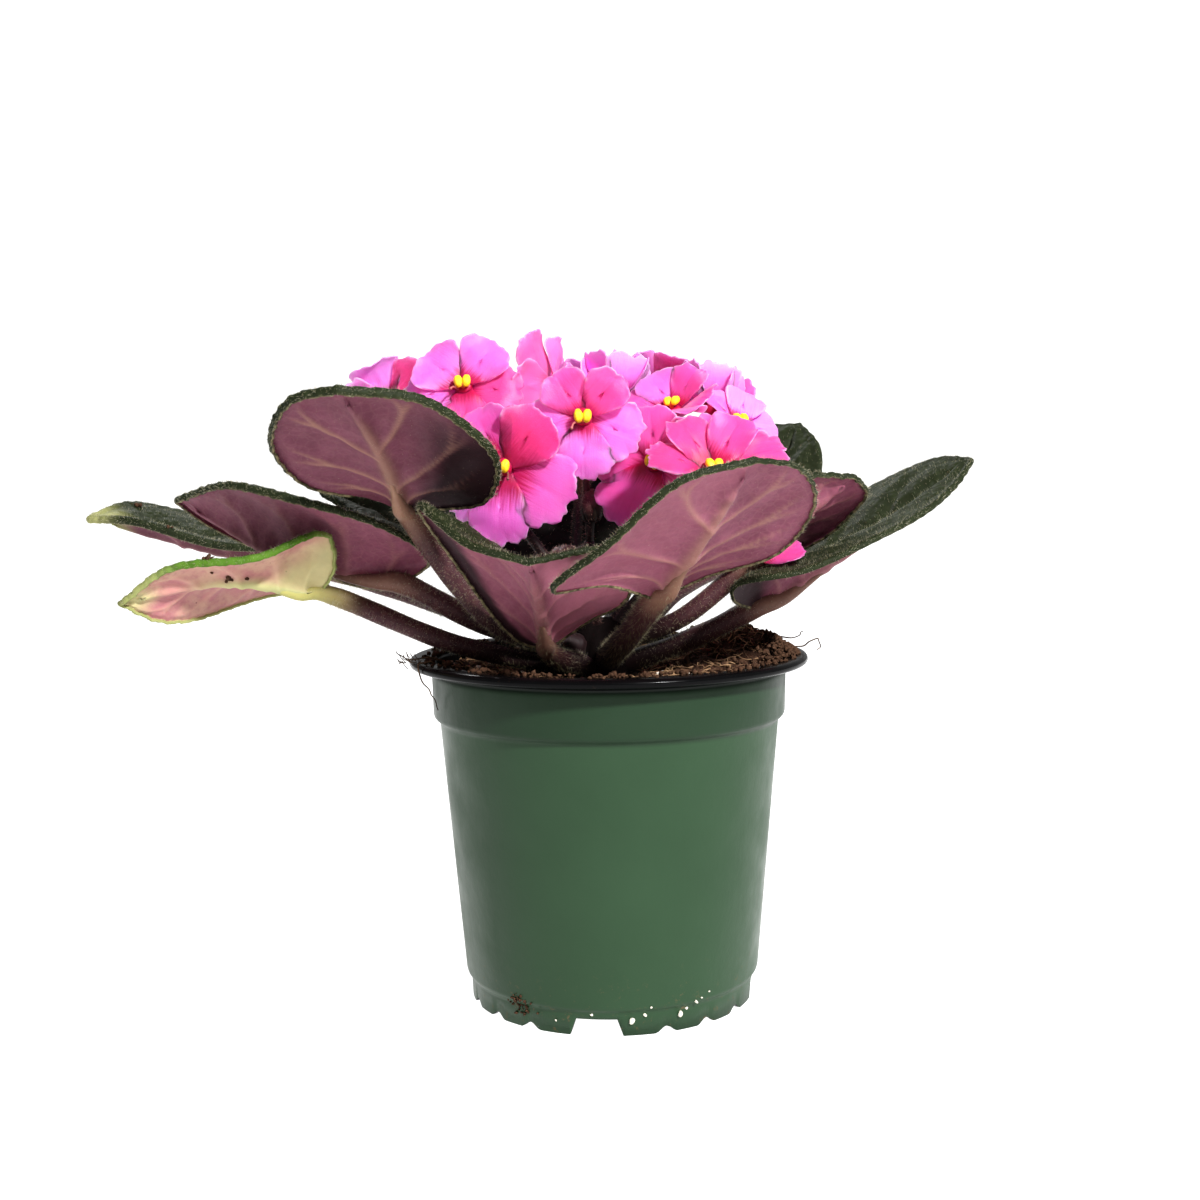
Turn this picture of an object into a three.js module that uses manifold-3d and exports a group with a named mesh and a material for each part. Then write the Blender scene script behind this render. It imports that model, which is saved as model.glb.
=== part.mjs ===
// A potted African violet: a thin nursery pot filled with peat, and a rosette of cupped, fleshy leaves
// round a dome of pink flowers. Millimetres, +Z up. The origin is on the pot's axis, on the surface
// that the pot stands on. The viewer stands at -Y, so -X is the plant's left.
import * as THREE from "three";
import { mergeVertices } from "three/addons/utils/BufferGeometryUtils.js";
import Module from "manifold-3d";

const wasm = await Module();
wasm.setup();

const DEG = Math.PI / 180;
const GAP = 0.3; // clearance between two pieces that touch
const FINEST = 0.04; // edges shorter than this are closed up

// Driving dimensions of the pot and what fills it
const POT = {
  height: 99,
  rimRadius: 57.5,
  lipHeight: 2.5,
  neckRadius: 50.6,
  bandTop: 94,
  bandBottom: 81.5,
  bandRadius: 51,
  bandFootRadius: 50.7,
  shoulderRadius: 48.9,
  footTop: 7,
  footTopRadius: 42.6,
  footRadius: 41,
  wall: 1.2,
  floorHeight: 5.2,
  padRadius: 24,
  sides: 30,
};
const NOTCH = { quarterTurn: 90, first: -96.3, topWidth: 11.3, footWidth: 14.6, height: 4.6 };
const SCALLOP = { offsets: [27, 45, 63], width: 4.4, height: 1.7 };
const SOIL = { top: 95, dish: 5.5, dishRadius: 19, mound: 8.5, moundAt: [40, 18], moundRadius: 16 };
const CROWN = { radius: 9.5, topRadius: 7, bottom: 70, top: 109 };
const CENTRE = new THREE.Vector3(-3, 0, 0); // the crown stands a little left of the pot's axis

// Solids from plain triangles
const flatten = (points) => points.flatMap((p) => [p.x, p.y, p.z]);

function solidOf(points, triangles) {
  const geometry = new THREE.BufferGeometry()
    .setAttribute("position", new THREE.Float32BufferAttribute(flatten(points), 3))
    .setIndex(triangles);
  return manifoldOf(geometry);
}

function manifoldOf(geometry) {
  const bare = new THREE.BufferGeometry().setAttribute("position", geometry.getAttribute("position"));
  if (geometry.index) bare.setIndex(geometry.index);
  const merged = mergeVertices(bare, 1e-4);
  return new wasm.Manifold(
    new wasm.Mesh({
      numProp: 3,
      vertProperties: new Float32Array(merged.attributes.position.array),
      triVerts: new Uint32Array(merged.index.array),
    }),
  );
}

function geometryOf(solid) {
  const mesh = solid.simplify(FINEST).getMesh();
  const position = new Float32Array(mesh.numVert * 3);
  for (let i = 0; i < mesh.numVert; i++) {
    const from = i * mesh.numProp;
    position.set(mesh.vertProperties.subarray(from, from + 3), i * 3);
  }
  const geometry = new THREE.BufferGeometry()
    .setAttribute("position", new THREE.BufferAttribute(position, 3))
    .setIndex(new THREE.BufferAttribute(new Uint32Array(mesh.triVerts), 1));
  geometry.computeVertexNormals();
  return geometry;
}

const union = (solids) => solids.reduce((whole, next) => whole.add(next));

// A closed solid through rings of equal size, with a fan at each end.
function loft(rings) {
  const sides = rings[0].length;
  const points = rings.flat();
  const middle = (ring) => ring.reduce((sum, p) => sum.add(p), new THREE.Vector3()).divideScalar(sides);
  const first = points.push(middle(rings[0])) - 1;
  const last = points.push(middle(rings.at(-1))) - 1;
  const triangles = [];
  const end = (rings.length - 1) * sides;
  for (let k = 0; k < sides; k++) {
    const next = (k + 1) % sides;
    triangles.push(first, next, k, last, end + k, end + next);
    for (let j = 0; j < rings.length - 1; j++) {
      const a = j * sides;
      const b = a + sides;
      triangles.push(a + k, a + next, b + next, a + k, b + next, b + k);
    }
  }
  return solidOf(points, triangles);
}

// A round stem along a curve; radiusAt takes the share of the length, from 0 to 1.
function stem(curve, radiusAt, steps, sides) {
  const frames = curve.computeFrenetFrames(steps, false);
  const rings = [];
  for (let j = 0; j <= steps; j++) {
    const centre = curve.getPointAt(j / steps);
    const ring = [];
    for (let k = 0; k < sides; k++) {
      const angle = (k / sides) * 2 * Math.PI;
      const offset = frames.normals[j]
        .clone()
        .multiplyScalar(Math.cos(angle))
        .addScaledVector(frames.binormals[j], Math.sin(angle));
      ring.push(centre.clone().addScaledVector(offset, radiusAt(j / steps)));
    }
    rings.push(ring);
  }
  return loft(rings);
}

// The pot
function pot() {
  const p = POT;
  const inner = p.wall;
  const outline = [
    [0, 0],
    [p.padRadius, 0],
    [p.padRadius + 2, p.floorHeight],
    [p.footRadius - inner, p.floorHeight],
    [p.footRadius - inner, 0],
    [p.footRadius, 0],
    [p.footRadius + 0.3, p.footTop - 0.6],
    [p.footTopRadius, p.footTop + 0.6],
    [p.shoulderRadius, p.bandBottom - 0.8],
    [p.bandFootRadius, p.bandBottom + 0.6],
    [p.bandRadius, p.bandTop],
    [p.neckRadius, p.height - p.lipHeight],
    [p.rimRadius - 0.6, p.height - p.lipHeight],
    [p.rimRadius, p.height - p.lipHeight / 2],
    [p.rimRadius - 0.8, p.height],
    [p.bandRadius - 0.5, p.height],
    [p.bandRadius - inner - 0.3, p.height - 1],
    [p.bandFootRadius - inner, p.bandBottom + 0.6],
    [p.shoulderRadius - inner, p.bandBottom - 0.8],
    [p.footTopRadius - inner, p.footTop + 1.2],
    [p.footRadius - inner, p.floorHeight + inner],
    [p.padRadius + 1, p.floorHeight + inner],
    [p.padRadius - 1, inner],
    [0, inner],
  ];
  const body = manifoldOf(
    new THREE.LatheGeometry(outline.map(([r, z]) => new THREE.Vector2(r, z)), p.sides).rotateX(90 * DEG),
  );
  return cutters().reduce((whole, cutter) => whole.subtract(cutter), body);
}

// A drainage notch, cut outwards through the foot at an angle round the axis.
function notch(footWidth, topWidth, height, angle) {
  const below = 1;
  const flare = ((footWidth - topWidth) / 2 / height) * below;
  const shape = new THREE.Shape([
    new THREE.Vector2(-footWidth / 2 - flare, -below),
    new THREE.Vector2(footWidth / 2 + flare, -below),
    new THREE.Vector2(topWidth / 2, height),
    new THREE.Vector2(-topWidth / 2, height),
  ]);
  const geometry = new THREE.ExtrudeGeometry(shape, { depth: 8, bevelEnabled: false, steps: 1 })
    .rotateX(90 * DEG)
    .rotateZ(180 * DEG)
    .translate(0, POT.footRadius - 5, 0)
    .rotateZ((angle - 90) * DEG);
  return manifoldOf(geometry);
}

function cutters() {
  const made = [];
  for (let quarter = 0; quarter < 4; quarter++) {
    const angle = NOTCH.first + quarter * NOTCH.quarterTurn;
    made.push(notch(NOTCH.footWidth, NOTCH.topWidth, NOTCH.height, angle));
    for (const offset of SCALLOP.offsets)
      made.push(notch(SCALLOP.width, SCALLOP.width * 0.45, SCALLOP.height, angle + offset));
  }
  return made;
}

// The soil, which follows the pot's inside and rises in a mound at the back right
function soilHeight(x, y) {
  const fromCrown = Math.hypot(x - CENTRE.x, y - CENTRE.y);
  const dish = SOIL.dish * Math.exp(-((fromCrown / SOIL.dishRadius) ** 2));
  const [mx, my] = SOIL.moundAt;
  const mound = SOIL.mound * Math.exp(-(((x - mx) ** 2 + (y - my) ** 2) / SOIL.moundRadius ** 2));
  const clods = 0.5 * Math.sin(0.31 * x + 1) * Math.cos(0.27 * y) + 0.3 * Math.sin(0.7 * x - 0.5 * y);
  return SOIL.top - dish + mound + clods;
}

function soil() {
  const inside = (radius) => radius - POT.wall - GAP;
  const levels = [
    [POT.padRadius - 3, POT.wall + GAP],
    [POT.padRadius - 0.2, POT.floorHeight + POT.wall + GAP],
    [inside(POT.footRadius) - 1, POT.floorHeight + POT.wall + GAP],
    [inside(POT.footTopRadius) - 0.2, POT.footTop + 2],
    [inside(POT.shoulderRadius) - 0.1, POT.bandBottom - 0.8],
    [inside(POT.bandFootRadius) - 0.2, POT.bandBottom + 0.8],
    [inside(POT.bandFootRadius), POT.bandTop - 1],
  ];
  const sides = POT.sides / 2;
  const at = (radius, k, z) => {
    const angle = (k / sides) * 2 * Math.PI;
    return new THREE.Vector3(radius * Math.cos(angle), radius * Math.sin(angle), z);
  };
  const slack = Math.cos(Math.PI / POT.sides); // keeps a coarser ring inside the pot's flats
  const ringAt = ([radius, z]) => Array.from({ length: sides }, (_, k) => at(radius * slack, k, z));
  const rings = levels.map(ringAt);
  const edge = inside(POT.bandFootRadius) * slack;
  for (const share of [0.93, 0.72, 0.5, 0.3, 0.12])
    rings.push(
      Array.from({ length: sides }, (_, k) => {
        const p = at(edge * share, k, 0);
        return p.setZ(soilHeight(p.x, p.y));
      }),
    );
  return loft(rings).subtract(crownBody(GAP));
}

// The crown, the short stem that everything grows from
function crownBody(grow) {
  const { radius, topRadius, bottom, top } = CROWN;
  const outline = [
    [0, bottom - grow],
    [radius * 0.6 + grow, bottom - grow],
    [radius + grow, bottom + 6],
    [radius + grow, top - 7],
    [topRadius + grow, top + grow],
    [0, top + grow],
  ];
  const lathe = new THREE.LatheGeometry(outline.map(([r, z]) => new THREE.Vector2(r, z)), 16);
  return manifoldOf(lathe.rotateX(90 * DEG).translate(CENTRE.x, CENTRE.y, 0));
}

// Leaves
// A blade hangs between three lines: its midrib, from the neck where the petiole joins it to the tip,
// and the crest of either margin, from the neck round the basal lobe to the same tip. The margin rolls
// under past its crest. Left and right are as seen from above, looking from the neck to the tip.
const LEAF = {
  thickness: 1.1,
  steps: 8, // points along each margin
  shares: [0.4, 0.75, 1], // the rings between the midrib and the crest
  inset: [0.05, 0.9], // the part of the midrib that the rings close on
  arch: 0.09, // how far the blade rises between midrib and crest, as a share of that distance
  rim: 2.2, // how far the margin rolls under
  wave: 0.7, // how far the margin waves up and down
  petioleSteps: 7,
  petioleSides: 5,
};

// `root` is where the petiole leaves the crown: its heading in degrees and its height. `bend` is a
// point on the petiole, and `stalk` its radius. The colour is that of the side which the viewer sees.
const UPPER_SIDE = 0x33452f;
const UNDERSIDE = 0x7a4a5c;
const PALE_UNDERSIDE = 0xb39a86;
const LEAVES = [
  {
    name: "leaf_low_left",
    root: [205, 94.8],
    bend: [-43, -12.5, 103.5],
    stalk: 2.7,
    color: PALE_UNDERSIDE,
    rib: [[-80, -18, 119], [-106, -30, 123], [-130, -34, 118]],
    left: [[-75, -24, 127], [-76, -28, 135], [-91, -38, 131], [-116, -38, 127]],
    right: [[-79, -12, 120], [-93, -6, 118], [-105, -14, 115], [-121, -28, 113]],
  },
  {
    name: "leaf_left",
    root: [186, 101.3],
    bend: [-35, -7, 108.5],
    stalk: 3.1,
    color: UNDERSIDE,
    rib: [[-58, -14, 121], [-90, -12, 128], [-121, -8, 145]],
    left: [[-50, -14, 127], [-58, -30, 136], [-76, -36, 144], [-100, -28, 149]],
    right: [[-59, 0, 119], [-77, 8, 120], [-100, 10, 130], [-116, 2, 139]],
  },
  {
    name: "leaf_far_left",
    root: [166, 96],
    bend: [-42, 14, 109],
    stalk: 2.6,
    color: UPPER_SIDE,
    rib: [[-86, 32, 121], [-124, 32, 129], [-157, 24, 139]],
    left: [[-75, 28, 118], [-84, 20, 126], [-114, 16, 131], [-139, 16, 138]],
    right: [[-84, 48, 124], [-103, 60, 134], [-132, 56, 138], [-149, 40, 143]],
  },
  {
    name: "leaf_upper_left",
    root: [229, 101.6],
    bend: [-30, -17, 109.5],
    stalk: 3.4,
    color: UNDERSIDE,
    rib: [[-54, -28, 141], [-57, -58, 158], [-63, -80, 172]],
    left: [[-44, -34, 143], [-31, -47, 145], [-28, -58, 156], [-42, -73, 169]],
    right: [[-63, -32, 145], [-78, -44, 150], [-83, -58, 159], [-75, -74, 170]],
  },
  {
    name: "leaf_behind_left",
    root: [147, 103],
    bend: [-30, 18, 116],
    stalk: 2.6,
    color: UPPER_SIDE,
    rib: [[-51, 24, 125], [-69, 34, 137], [-89, 40, 146]],
    left: [[-48, 14, 124], [-61, 12, 130], [-74, 22, 139]],
    right: [[-52, 40, 133], [-66, 52, 146], [-82, 50, 151]],
  },
  {
    name: "leaf_back_left",
    root: [115, 97],
    bend: [-15, 24, 112],
    stalk: 2.7,
    color: UPPER_SIDE,
    rib: [[-22, 38, 128], [-34, 60, 143], [-48, 82, 150]],
    left: [[-34, 32, 128], [-52, 42, 138], [-60, 62, 148], [-60, 78, 152]],
    right: [[-16, 48, 132], [-4, 64, 142], [-12, 82, 150], [-32, 90, 152]],
  },
  {
    name: "leaf_back",
    root: [75, 101],
    bend: [4, 26, 114],
    stalk: 2.7,
    color: UPPER_SIDE,
    rib: [[9, 38, 130], [16, 58, 147], [22, 84, 156]],
    left: [[-2, 40, 134], [-8, 56, 150], [-4, 74, 158], [9, 84, 160]],
    right: [[20, 34, 129], [32, 48, 138], [37, 66, 148], [32, 82, 154]],
  },
  {
    name: "leaf_young",
    root: [100, 107],
    bend: [-3, 9, 113],
    stalk: 2,
    color: UPPER_SIDE,
    rib: [[-3, 15, 119], [-5, 26, 134], [-6, 34, 149]],
    left: [[-16, 6, 117.5], [-30, 9, 127], [-25, 27, 145]],
    right: [[7, 11, 122], [14, 19, 133], [10, 29, 146]],
  },
  {
    name: "leaf_front",
    root: [250, 96],
    bend: [-13, -15, 99],
    stalk: 3.0,
    color: UNDERSIDE,
    rib: [[-17, -22, 103], [-18, -46, 118], [-19, -68, 130]],
    left: [[-6, -20, 110], [3, -30, 116], [7, -42, 127], [-3, -60, 132]],
    right: [[-24, -20.5, 105.5], [-38.5, -33, 125], [-47, -50, 144], [-34, -64, 134]],
  },
  {
    name: "leaf_front_right",
    root: [288, 98],
    bend: [5, -24, 106],
    stalk: 3.4,
    color: UNDERSIDE,
    rib: [[13, -38, 118], [23, -58, 133], [35, -78, 154]],
    left: [[25, -36, 123], [43, -42, 130], [52, -56, 143], [46, -70, 152]],
    right: [[1, -56, 123], [-13, -70, 123], [1, -80, 136], [17, -84, 149]],
  },
  {
    name: "leaf_right",
    root: [325, 102.5],
    bend: [21, -10, 110],
    stalk: 2.7,
    color: UNDERSIDE,
    rib: [[39, -10, 124], [50, -20, 135], [67, -26, 149]],
    left: [[48, -2, 125], [62, -6, 134], [71, -18, 144]],
    right: [[32, -18, 127], [35, -24, 139], [52, -30, 149]],
  },
  {
    name: "leaf_far_right",
    root: [348, 96],
    bend: [24, -6, 103.5],
    stalk: 3.0,
    color: UPPER_SIDE,
    rib: [[42, -6, 112], [70, 0, 128], [107, 10, 153]],
    left: [[43, 8, 118], [59, 24, 131], [80, 28, 145], [99, 22, 153]],
    right: [[35, -22, 116], [35, -30, 121], [54, -32, 125], [81, -20, 135], [99, -2, 146]],
  },
  {
    name: "leaf_back_right",
    root: [35, 97],
    bend: [20, 20, 114],
    stalk: 2.6,
    color: UPPER_SIDE,
    rib: [[40, 40, 123], [52, 54, 144], [64, 70, 165]],
    left: [[35, 58, 127], [38, 72, 144], [51, 78, 163]],
    right: [[48, 36, 123], [64, 44, 140], [68, 56, 157]],
  },
];

const vector = (list) => new THREE.Vector3(...list);
const curveThrough = (points) => new THREE.CatmullRomCurve3(points, false, "centripetal");

// A point on the crown's side: [heading in degrees, height].
function crownPoint([heading, height], reach) {
  const angle = heading * DEG;
  return new THREE.Vector3(CENTRE.x + reach * Math.cos(angle), CENTRE.y + reach * Math.sin(angle), height);
}

// The lower face of a blade: a point for a side (1 left, -1 right), the share t of the way from neck to
// tip, and the share s of the way from midrib to crest. Past s = 1 it is the rolled rim.
function bladeSurface(data) {
  const rib = curveThrough(data.rib.map(vector));
  const [neck, tip] = [vector(data.rib[0]), vector(data.rib.at(-1))];
  const crest = {
    1: curveThrough([neck, ...data.left.map(vector), tip]),
    "-1": curveThrough([neck, ...data.right.map(vector), tip]),
  };
  const ribAt = (t) => rib.getPointAt(THREE.MathUtils.lerp(LEAF.inset[0], LEAF.inset[1], t));
  return (side, t, s) => {
    const inner = ribAt(t);
    const outer = crest[side].getPointAt(t);
    const span = outer.clone().sub(inner);
    const level = THREE.MathUtils.clamp(t, 0.2, 0.8);
    const across = crest[side].getPointAt(level).sub(ribAt(level));
    const up = rib.getTangentAt(level).cross(across).multiplyScalar(side).normalize();
    const share = Math.min(s, 1);
    const point = inner.addScaledVector(span, share);
    point.addScaledVector(up, LEAF.arch * span.length() * 4 * share * (1 - share));
    const wave = LEAF.wave * Math.sin(Math.PI * t) * Math.sin(11 * t + data.root[0] + side);
    point.addScaledVector(up, wave * share ** 3);
    if (s > 1) {
      const roll = LEAF.rim * THREE.MathUtils.smoothstep(t, 0, 0.12);
      point.addScaledVector(up, -roll).addScaledVector(span.normalize(), -0.3 * roll);
    }
    return point;
  };
}

function leafBlade(data) {
  const surface = bladeSurface(data);
  const n = LEAF.steps;
  const loop = [];
  for (let i = 0; i < n; i++) loop.push([1, i / n, i]);
  for (let i = n; i > 0; i--) loop.push([-1, i / n, i]);
  const points = Array.from({ length: n + 1 }, (_, i) => surface(1, i / n, 0));
  const faces = [];
  const quad = (a, b, c, d) => {
    if (a !== b) faces.push([a, b, c]);
    faces.push([a, c, d]);
  };
  const count = loop.length;
  [...LEAF.shares, 2].forEach((share, ring) => {
    const start = points.length;
    for (const [side, t] of loop) points.push(surface(side, t, share));
    for (let k = 0; k < count; k++) {
      const next = (k + 1) % count;
      const inner = ring ? [start - count + k, start - count + next] : [loop[k][2], loop[next][2]];
      quad(inner[1], inner[0], start + k, start + next);
    }
  });
  return sheet(points, faces, count, LEAF.thickness);
}

// A closed sheet behind a face, whose last `count` points are its edge.
function sheet(points, faces, count, thickness) {
  const face = new THREE.BufferGeometry()
    .setAttribute("position", new THREE.Float32BufferAttribute(flatten(points), 3))
    .setIndex(faces.flat());
  face.computeVertexNormals();
  const normals = face.getAttribute("normal");
  const size = points.length;
  const behind = points.map((p, i) =>
    p.clone().addScaledVector(new THREE.Vector3().fromBufferAttribute(normals, i), -thickness),
  );
  const triangles = faces.flatMap(([a, b, c]) => [a, b, c, size + a, size + c, size + b]);
  const start = size - count;
  for (let k = 0; k < count; k++) {
    const [a, b] = [start + k, start + ((k + 1) % count)];
    triangles.push(b, a, size + a, b, size + a, size + b);
  }
  return solidOf([...points, ...behind], triangles);
}

function leaf(data) {
  const surface = bladeSurface(data);
  const ridge = [0.08, 0.45, 0.88].map((t) => {
    const sink = 0.75 * data.stalk * (1 - 0.6 * t);
    const side = surface(1, t, 0.3).sub(surface(-1, t, 0.3));
    const along = surface(1, t + 0.1, 0).sub(surface(1, t, 0));
    return surface(1, t, 0).addScaledVector(along.cross(side).normalize(), -sink);
  });
  const toNeck = [crownPoint(data.root, CROWN.radius - 2), vector(data.bend), vector(data.rib[0])];
  const curve = curveThrough([...toNeck, ...ridge]);
  const neckShare = curveThrough(toNeck).getLength() / curve.getLength();
  const radiusAt = (t) => data.stalk * (1 - 0.85 * THREE.MathUtils.smoothstep(t, 0.85 * neckShare, 1));
  const petiole = stem(curve, radiusAt, LEAF.petioleSteps, LEAF.petioleSides);
  return leafBlade(data).add(petiole).subtract(crownBody(GAP));
}

// Flowers
// One half of a petal's outline, from its base to its lip, as shares of its length and half width.
const PETAL_OUTLINE = [
  [0.0, 0.25],
  [0.3, 0.68],
  [0.66, 1.0],
  [0.94, 0.62],
];
const BACK = -5; // blooms farther back than this have plainer petals
const PETAL = {
  thickness: 0.65,
  middle: 0.6,
  shares: [0.6, 1],
  base: 1.2,
  layer: 0.95,
  wave: 0.05,
  flare: 0.6,
};

// The five petals: the turn round the face, 0 at the top; length and half width as shares of the
// bloom's radius; and the layer that each lies in, 0 at the back.
const PETALS = [
  { turn: 100, length: 1.0, half: 0.57, layer: 0 },
  { turn: -100, length: 1.0, half: 0.57, layer: 0 },
  { turn: 180, length: 1.08, half: 0.64, layer: 1 },
  { turn: 34, length: 0.9, half: 0.47, layer: 1 },
  { turn: -34, length: 0.9, half: 0.47, layer: 2 },
];
const HUB = { radius: 2.7, back: 4, front: 2.5, sides: 6 };

// Each bloom: its throat, the way it faces, its spin about that, its radius, and how far its petals
// rise forward from flat, in degrees. The flare is the share of that slope which a petal loses on
// the way to its lip; below 0 it steepens instead, so that the bloom is a cup.
const BLOOMS = [
  { name: "bloom_1", at: [-6, -32, 166], faces: [0, -1, 0.02], spin: 0, radius: 14.6, open: 8 },
  { name: "bloom_2", at: [-27, -33, 153], faces: [-0.2, -1, 0.05], spin: -4, radius: 18.5, open: 10 },
  { name: "bloom_3", at: [-39, -14, 175], faces: [-0.05, -1, 0.42], spin: 4, radius: 15.5, open: 12 },
  {
    name: "bloom_4",
    at: [-63, 14, 172],
    faces: [-0.4, 0.6, 0.6],
    spin: 0,
    radius: 15,
    open: 20,
    flare: 0.3,
  },
  {
    name: "bloom_5",
    at: [-14.5, -1, 175],
    faces: [-0.86, 0.45, 0.22],
    spin: 0,
    radius: 17,
    open: 26,
    flare: 0.3,
  },
  {
    name: "bloom_6",
    at: [3, 12, 173.5],
    faces: [0.05, 0.12, 0.99],
    spin: 10,
    radius: 14,
    open: 15,
    flare: -3,
  },
  {
    name: "bloom_7",
    at: [19.5, -6, 167.5],
    faces: [-0.25, -0.5, 0.83],
    spin: 6,
    radius: 14.2,
    open: 36,
    flare: 0.1,
  },
  {
    name: "bloom_8",
    at: [31, 12, 169],
    faces: [0.1, 0.1, 0.99],
    spin: 15,
    radius: 15,
    open: 15,
    flare: -3,
  },
  { name: "bloom_9", at: [36.5, -4, 163.2], faces: [0.45, -0.7, 0.62], spin: 0, radius: 12.8, open: 12 },
  {
    name: "bloom_10",
    at: [28, -39, 150],
    faces: [0.05, -0.58, 0.8],
    spin: 0,
    radius: 17,
    open: 36,
    flare: 0.3,
  },
  { name: "bloom_11", at: [13.5, -23, 153.5], faces: [-0.25, -0.95, 0.1], spin: -28, radius: 16.5, open: 4 },
  { name: "bloom_12", at: [-14, 36, 176], faces: [-0.2, 0.6, 0.8], spin: 0, radius: 13, open: 14 },
  { name: "bloom_13", at: [17, 36, 177], faces: [0.2, 0.6, 0.8], spin: 0, radius: 13, open: 14 },
];

function petalOutline(length, half) {
  const right = PETAL_OUTLINE.map(([x, y]) => [x * length, y * half]);
  const left = [...right].reverse().map(([x, y]) => [x, -y]);
  return [...right, [length, 0], ...left];
}

// A petal in the bloom's own frame, where +Z is the way that the bloom faces.
function petal(bloom, { turn, length, half, layer }) {
  const reach = length * bloom.radius;
  const width = half * bloom.radius;
  const outline = petalOutline(reach, width);
  const flare = bloom.flare ?? PETAL.flare;
  const surface = (x, y) => {
    const slope = bloom.open * DEG * (1 - flare * (x / reach));
    const edge = PETAL.wave * width * (y / width) ** 2 * Math.sin(turn * DEG + 3 * (x / reach));
    const rise = layer * PETAL.layer + x * Math.sin(slope) + edge;
    return new THREE.Vector3(-y, PETAL.base + x * Math.cos(slope), rise);
  };
  const [cx, count] = [PETAL.middle * reach, outline.length];
  const points = [surface(cx, 0)];
  const faces = [];
  const shares = bloom.at[1] > BACK ? [1] : PETAL.shares;
  shares.forEach((share, ring) => {
    const start = points.length;
    for (const [x, y] of outline) points.push(surface(cx + (x - cx) * share, y * share));
    for (let k = 0; k < count; k++) {
      const [here, next] = [start + k, start + ((k + 1) % count)];
      if (ring) faces.push([here - count, here, next], [here - count, next, next - count]);
      else faces.push([0, here, next]);
    }
  });
  return sheet(points, faces, count, PETAL.thickness).rotate([0, 0, turn]);
}

// A petal that has dropped on to a leaf.
const FALLEN = { at: [40.5, -25.5, 127.4], faces: [0.05, -0.65, 0.76], spin: -80, radius: 12, open: 16 };

function fallenPetal() {
  return place(petal(FALLEN, { turn: 0, length: 1, half: 0.42, layer: 0 }), bloomMatrix(FALLEN));
}

function bloomMatrix(bloom) {
  const out = vector(bloom.faces).normalize();
  const right = new THREE.Vector3(0, 0, 1).cross(out).normalize();
  const up = out.clone().cross(right);
  const basis = new THREE.Matrix4().makeBasis(right, up, out);
  const spin = new THREE.Matrix4().makeRotationZ(bloom.spin * DEG);
  return basis.multiply(spin).setPosition(vector(bloom.at));
}

function place(solid, matrix) {
  return solid.transform(matrix.toArray());
}

const turned = (outline, sides) =>
  new THREE.LatheGeometry(outline.map(([r, z]) => new THREE.Vector2(r, z)), sides).rotateX(90 * DEG);

function corolla(bloom) {
  const hub = turned(
    [
      [0, -HUB.back],
      [HUB.radius * 0.55, -HUB.back],
      [HUB.radius, 0],
      [HUB.radius * 0.8, HUB.front],
      [0, HUB.front],
    ],
    HUB.sides,
  );
  return place(union([manifoldOf(hub), ...PETALS.map((p) => petal(bloom, p))]), bloomMatrix(bloom));
}

// The pair of pollen sacs, side by side over the throat.
const ANTHER = { reach: 1.6, across: 1.4, depth: 1.15, apart: 1.15 };

function anthers(bloom) {
  const sac = (side) =>
    manifoldOf(
      new THREE.SphereGeometry(1, 5, 3)
        .scale(ANTHER.across, ANTHER.reach, ANTHER.depth)
        .rotateZ(-8 * side * DEG)
        .translate(side * ANTHER.apart, 0.2, HUB.front + GAP + ANTHER.depth),
    );
  return place(sac(1).add(sac(-1)), bloomMatrix(bloom));
}

// Flower stalks. Each rises from the crown to a fork and sends a pedicel to the back of each of
// its blooms, where a small calyx holds the corolla's tube, and to its buds.
const STALK = { radius: 1.5, pedicel: 1, sides: 5, steps: 5, calyx: 1.9, calyxLength: 3.2 };
const BUD = { radius: 3.4, length: 4.6 };
const STALKS = [
  {
    name: "stalk_left",
    root: [215, 107],
    bend: [-14, -8, 122],
    fork: [-27, -12, 141],
    blooms: [2, 3, 4],
    buds: [],
  },
  {
    name: "stalk_front",
    root: [270, 107],
    bend: [-4, -9, 118],
    fork: [-5, -14, 132],
    blooms: [1],
    buds: [[-4, -16, 142], [-12, -22, 128]],
  },
  {
    name: "stalk_back",
    root: [120, 107],
    bend: [-9, 8, 122],
    fork: [-8, 10, 145],
    blooms: [5, 6, 12],
    buds: [],
  },
  {
    name: "stalk_right",
    root: [20, 107],
    bend: [7, 4, 120],
    fork: [14, 0, 140],
    blooms: [7, 11, 13],
    buds: [],
  },
  {
    name: "stalk_far_right",
    root: [340, 107],
    bend: [14, -3, 121],
    fork: [33, 1, 140],
    blooms: [8, 9, 10],
    buds: [],
  },
];

function calyx(end, out) {
  const { calyx: wide, calyxLength: long, pedicel } = STALK;
  const cup = turned(
    [
      [0, -long],
      [pedicel * 1.1, -long],
      [wide, -0.6],
      [wide * 0.8, 0],
      [0, 0],
    ],
    STALK.sides,
  );
  const turn = new THREE.Quaternion().setFromUnitVectors(new THREE.Vector3(0, 0, 1), out);
  return place(manifoldOf(cup), new THREE.Matrix4().makeRotationFromQuaternion(turn).setPosition(end));
}

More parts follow.
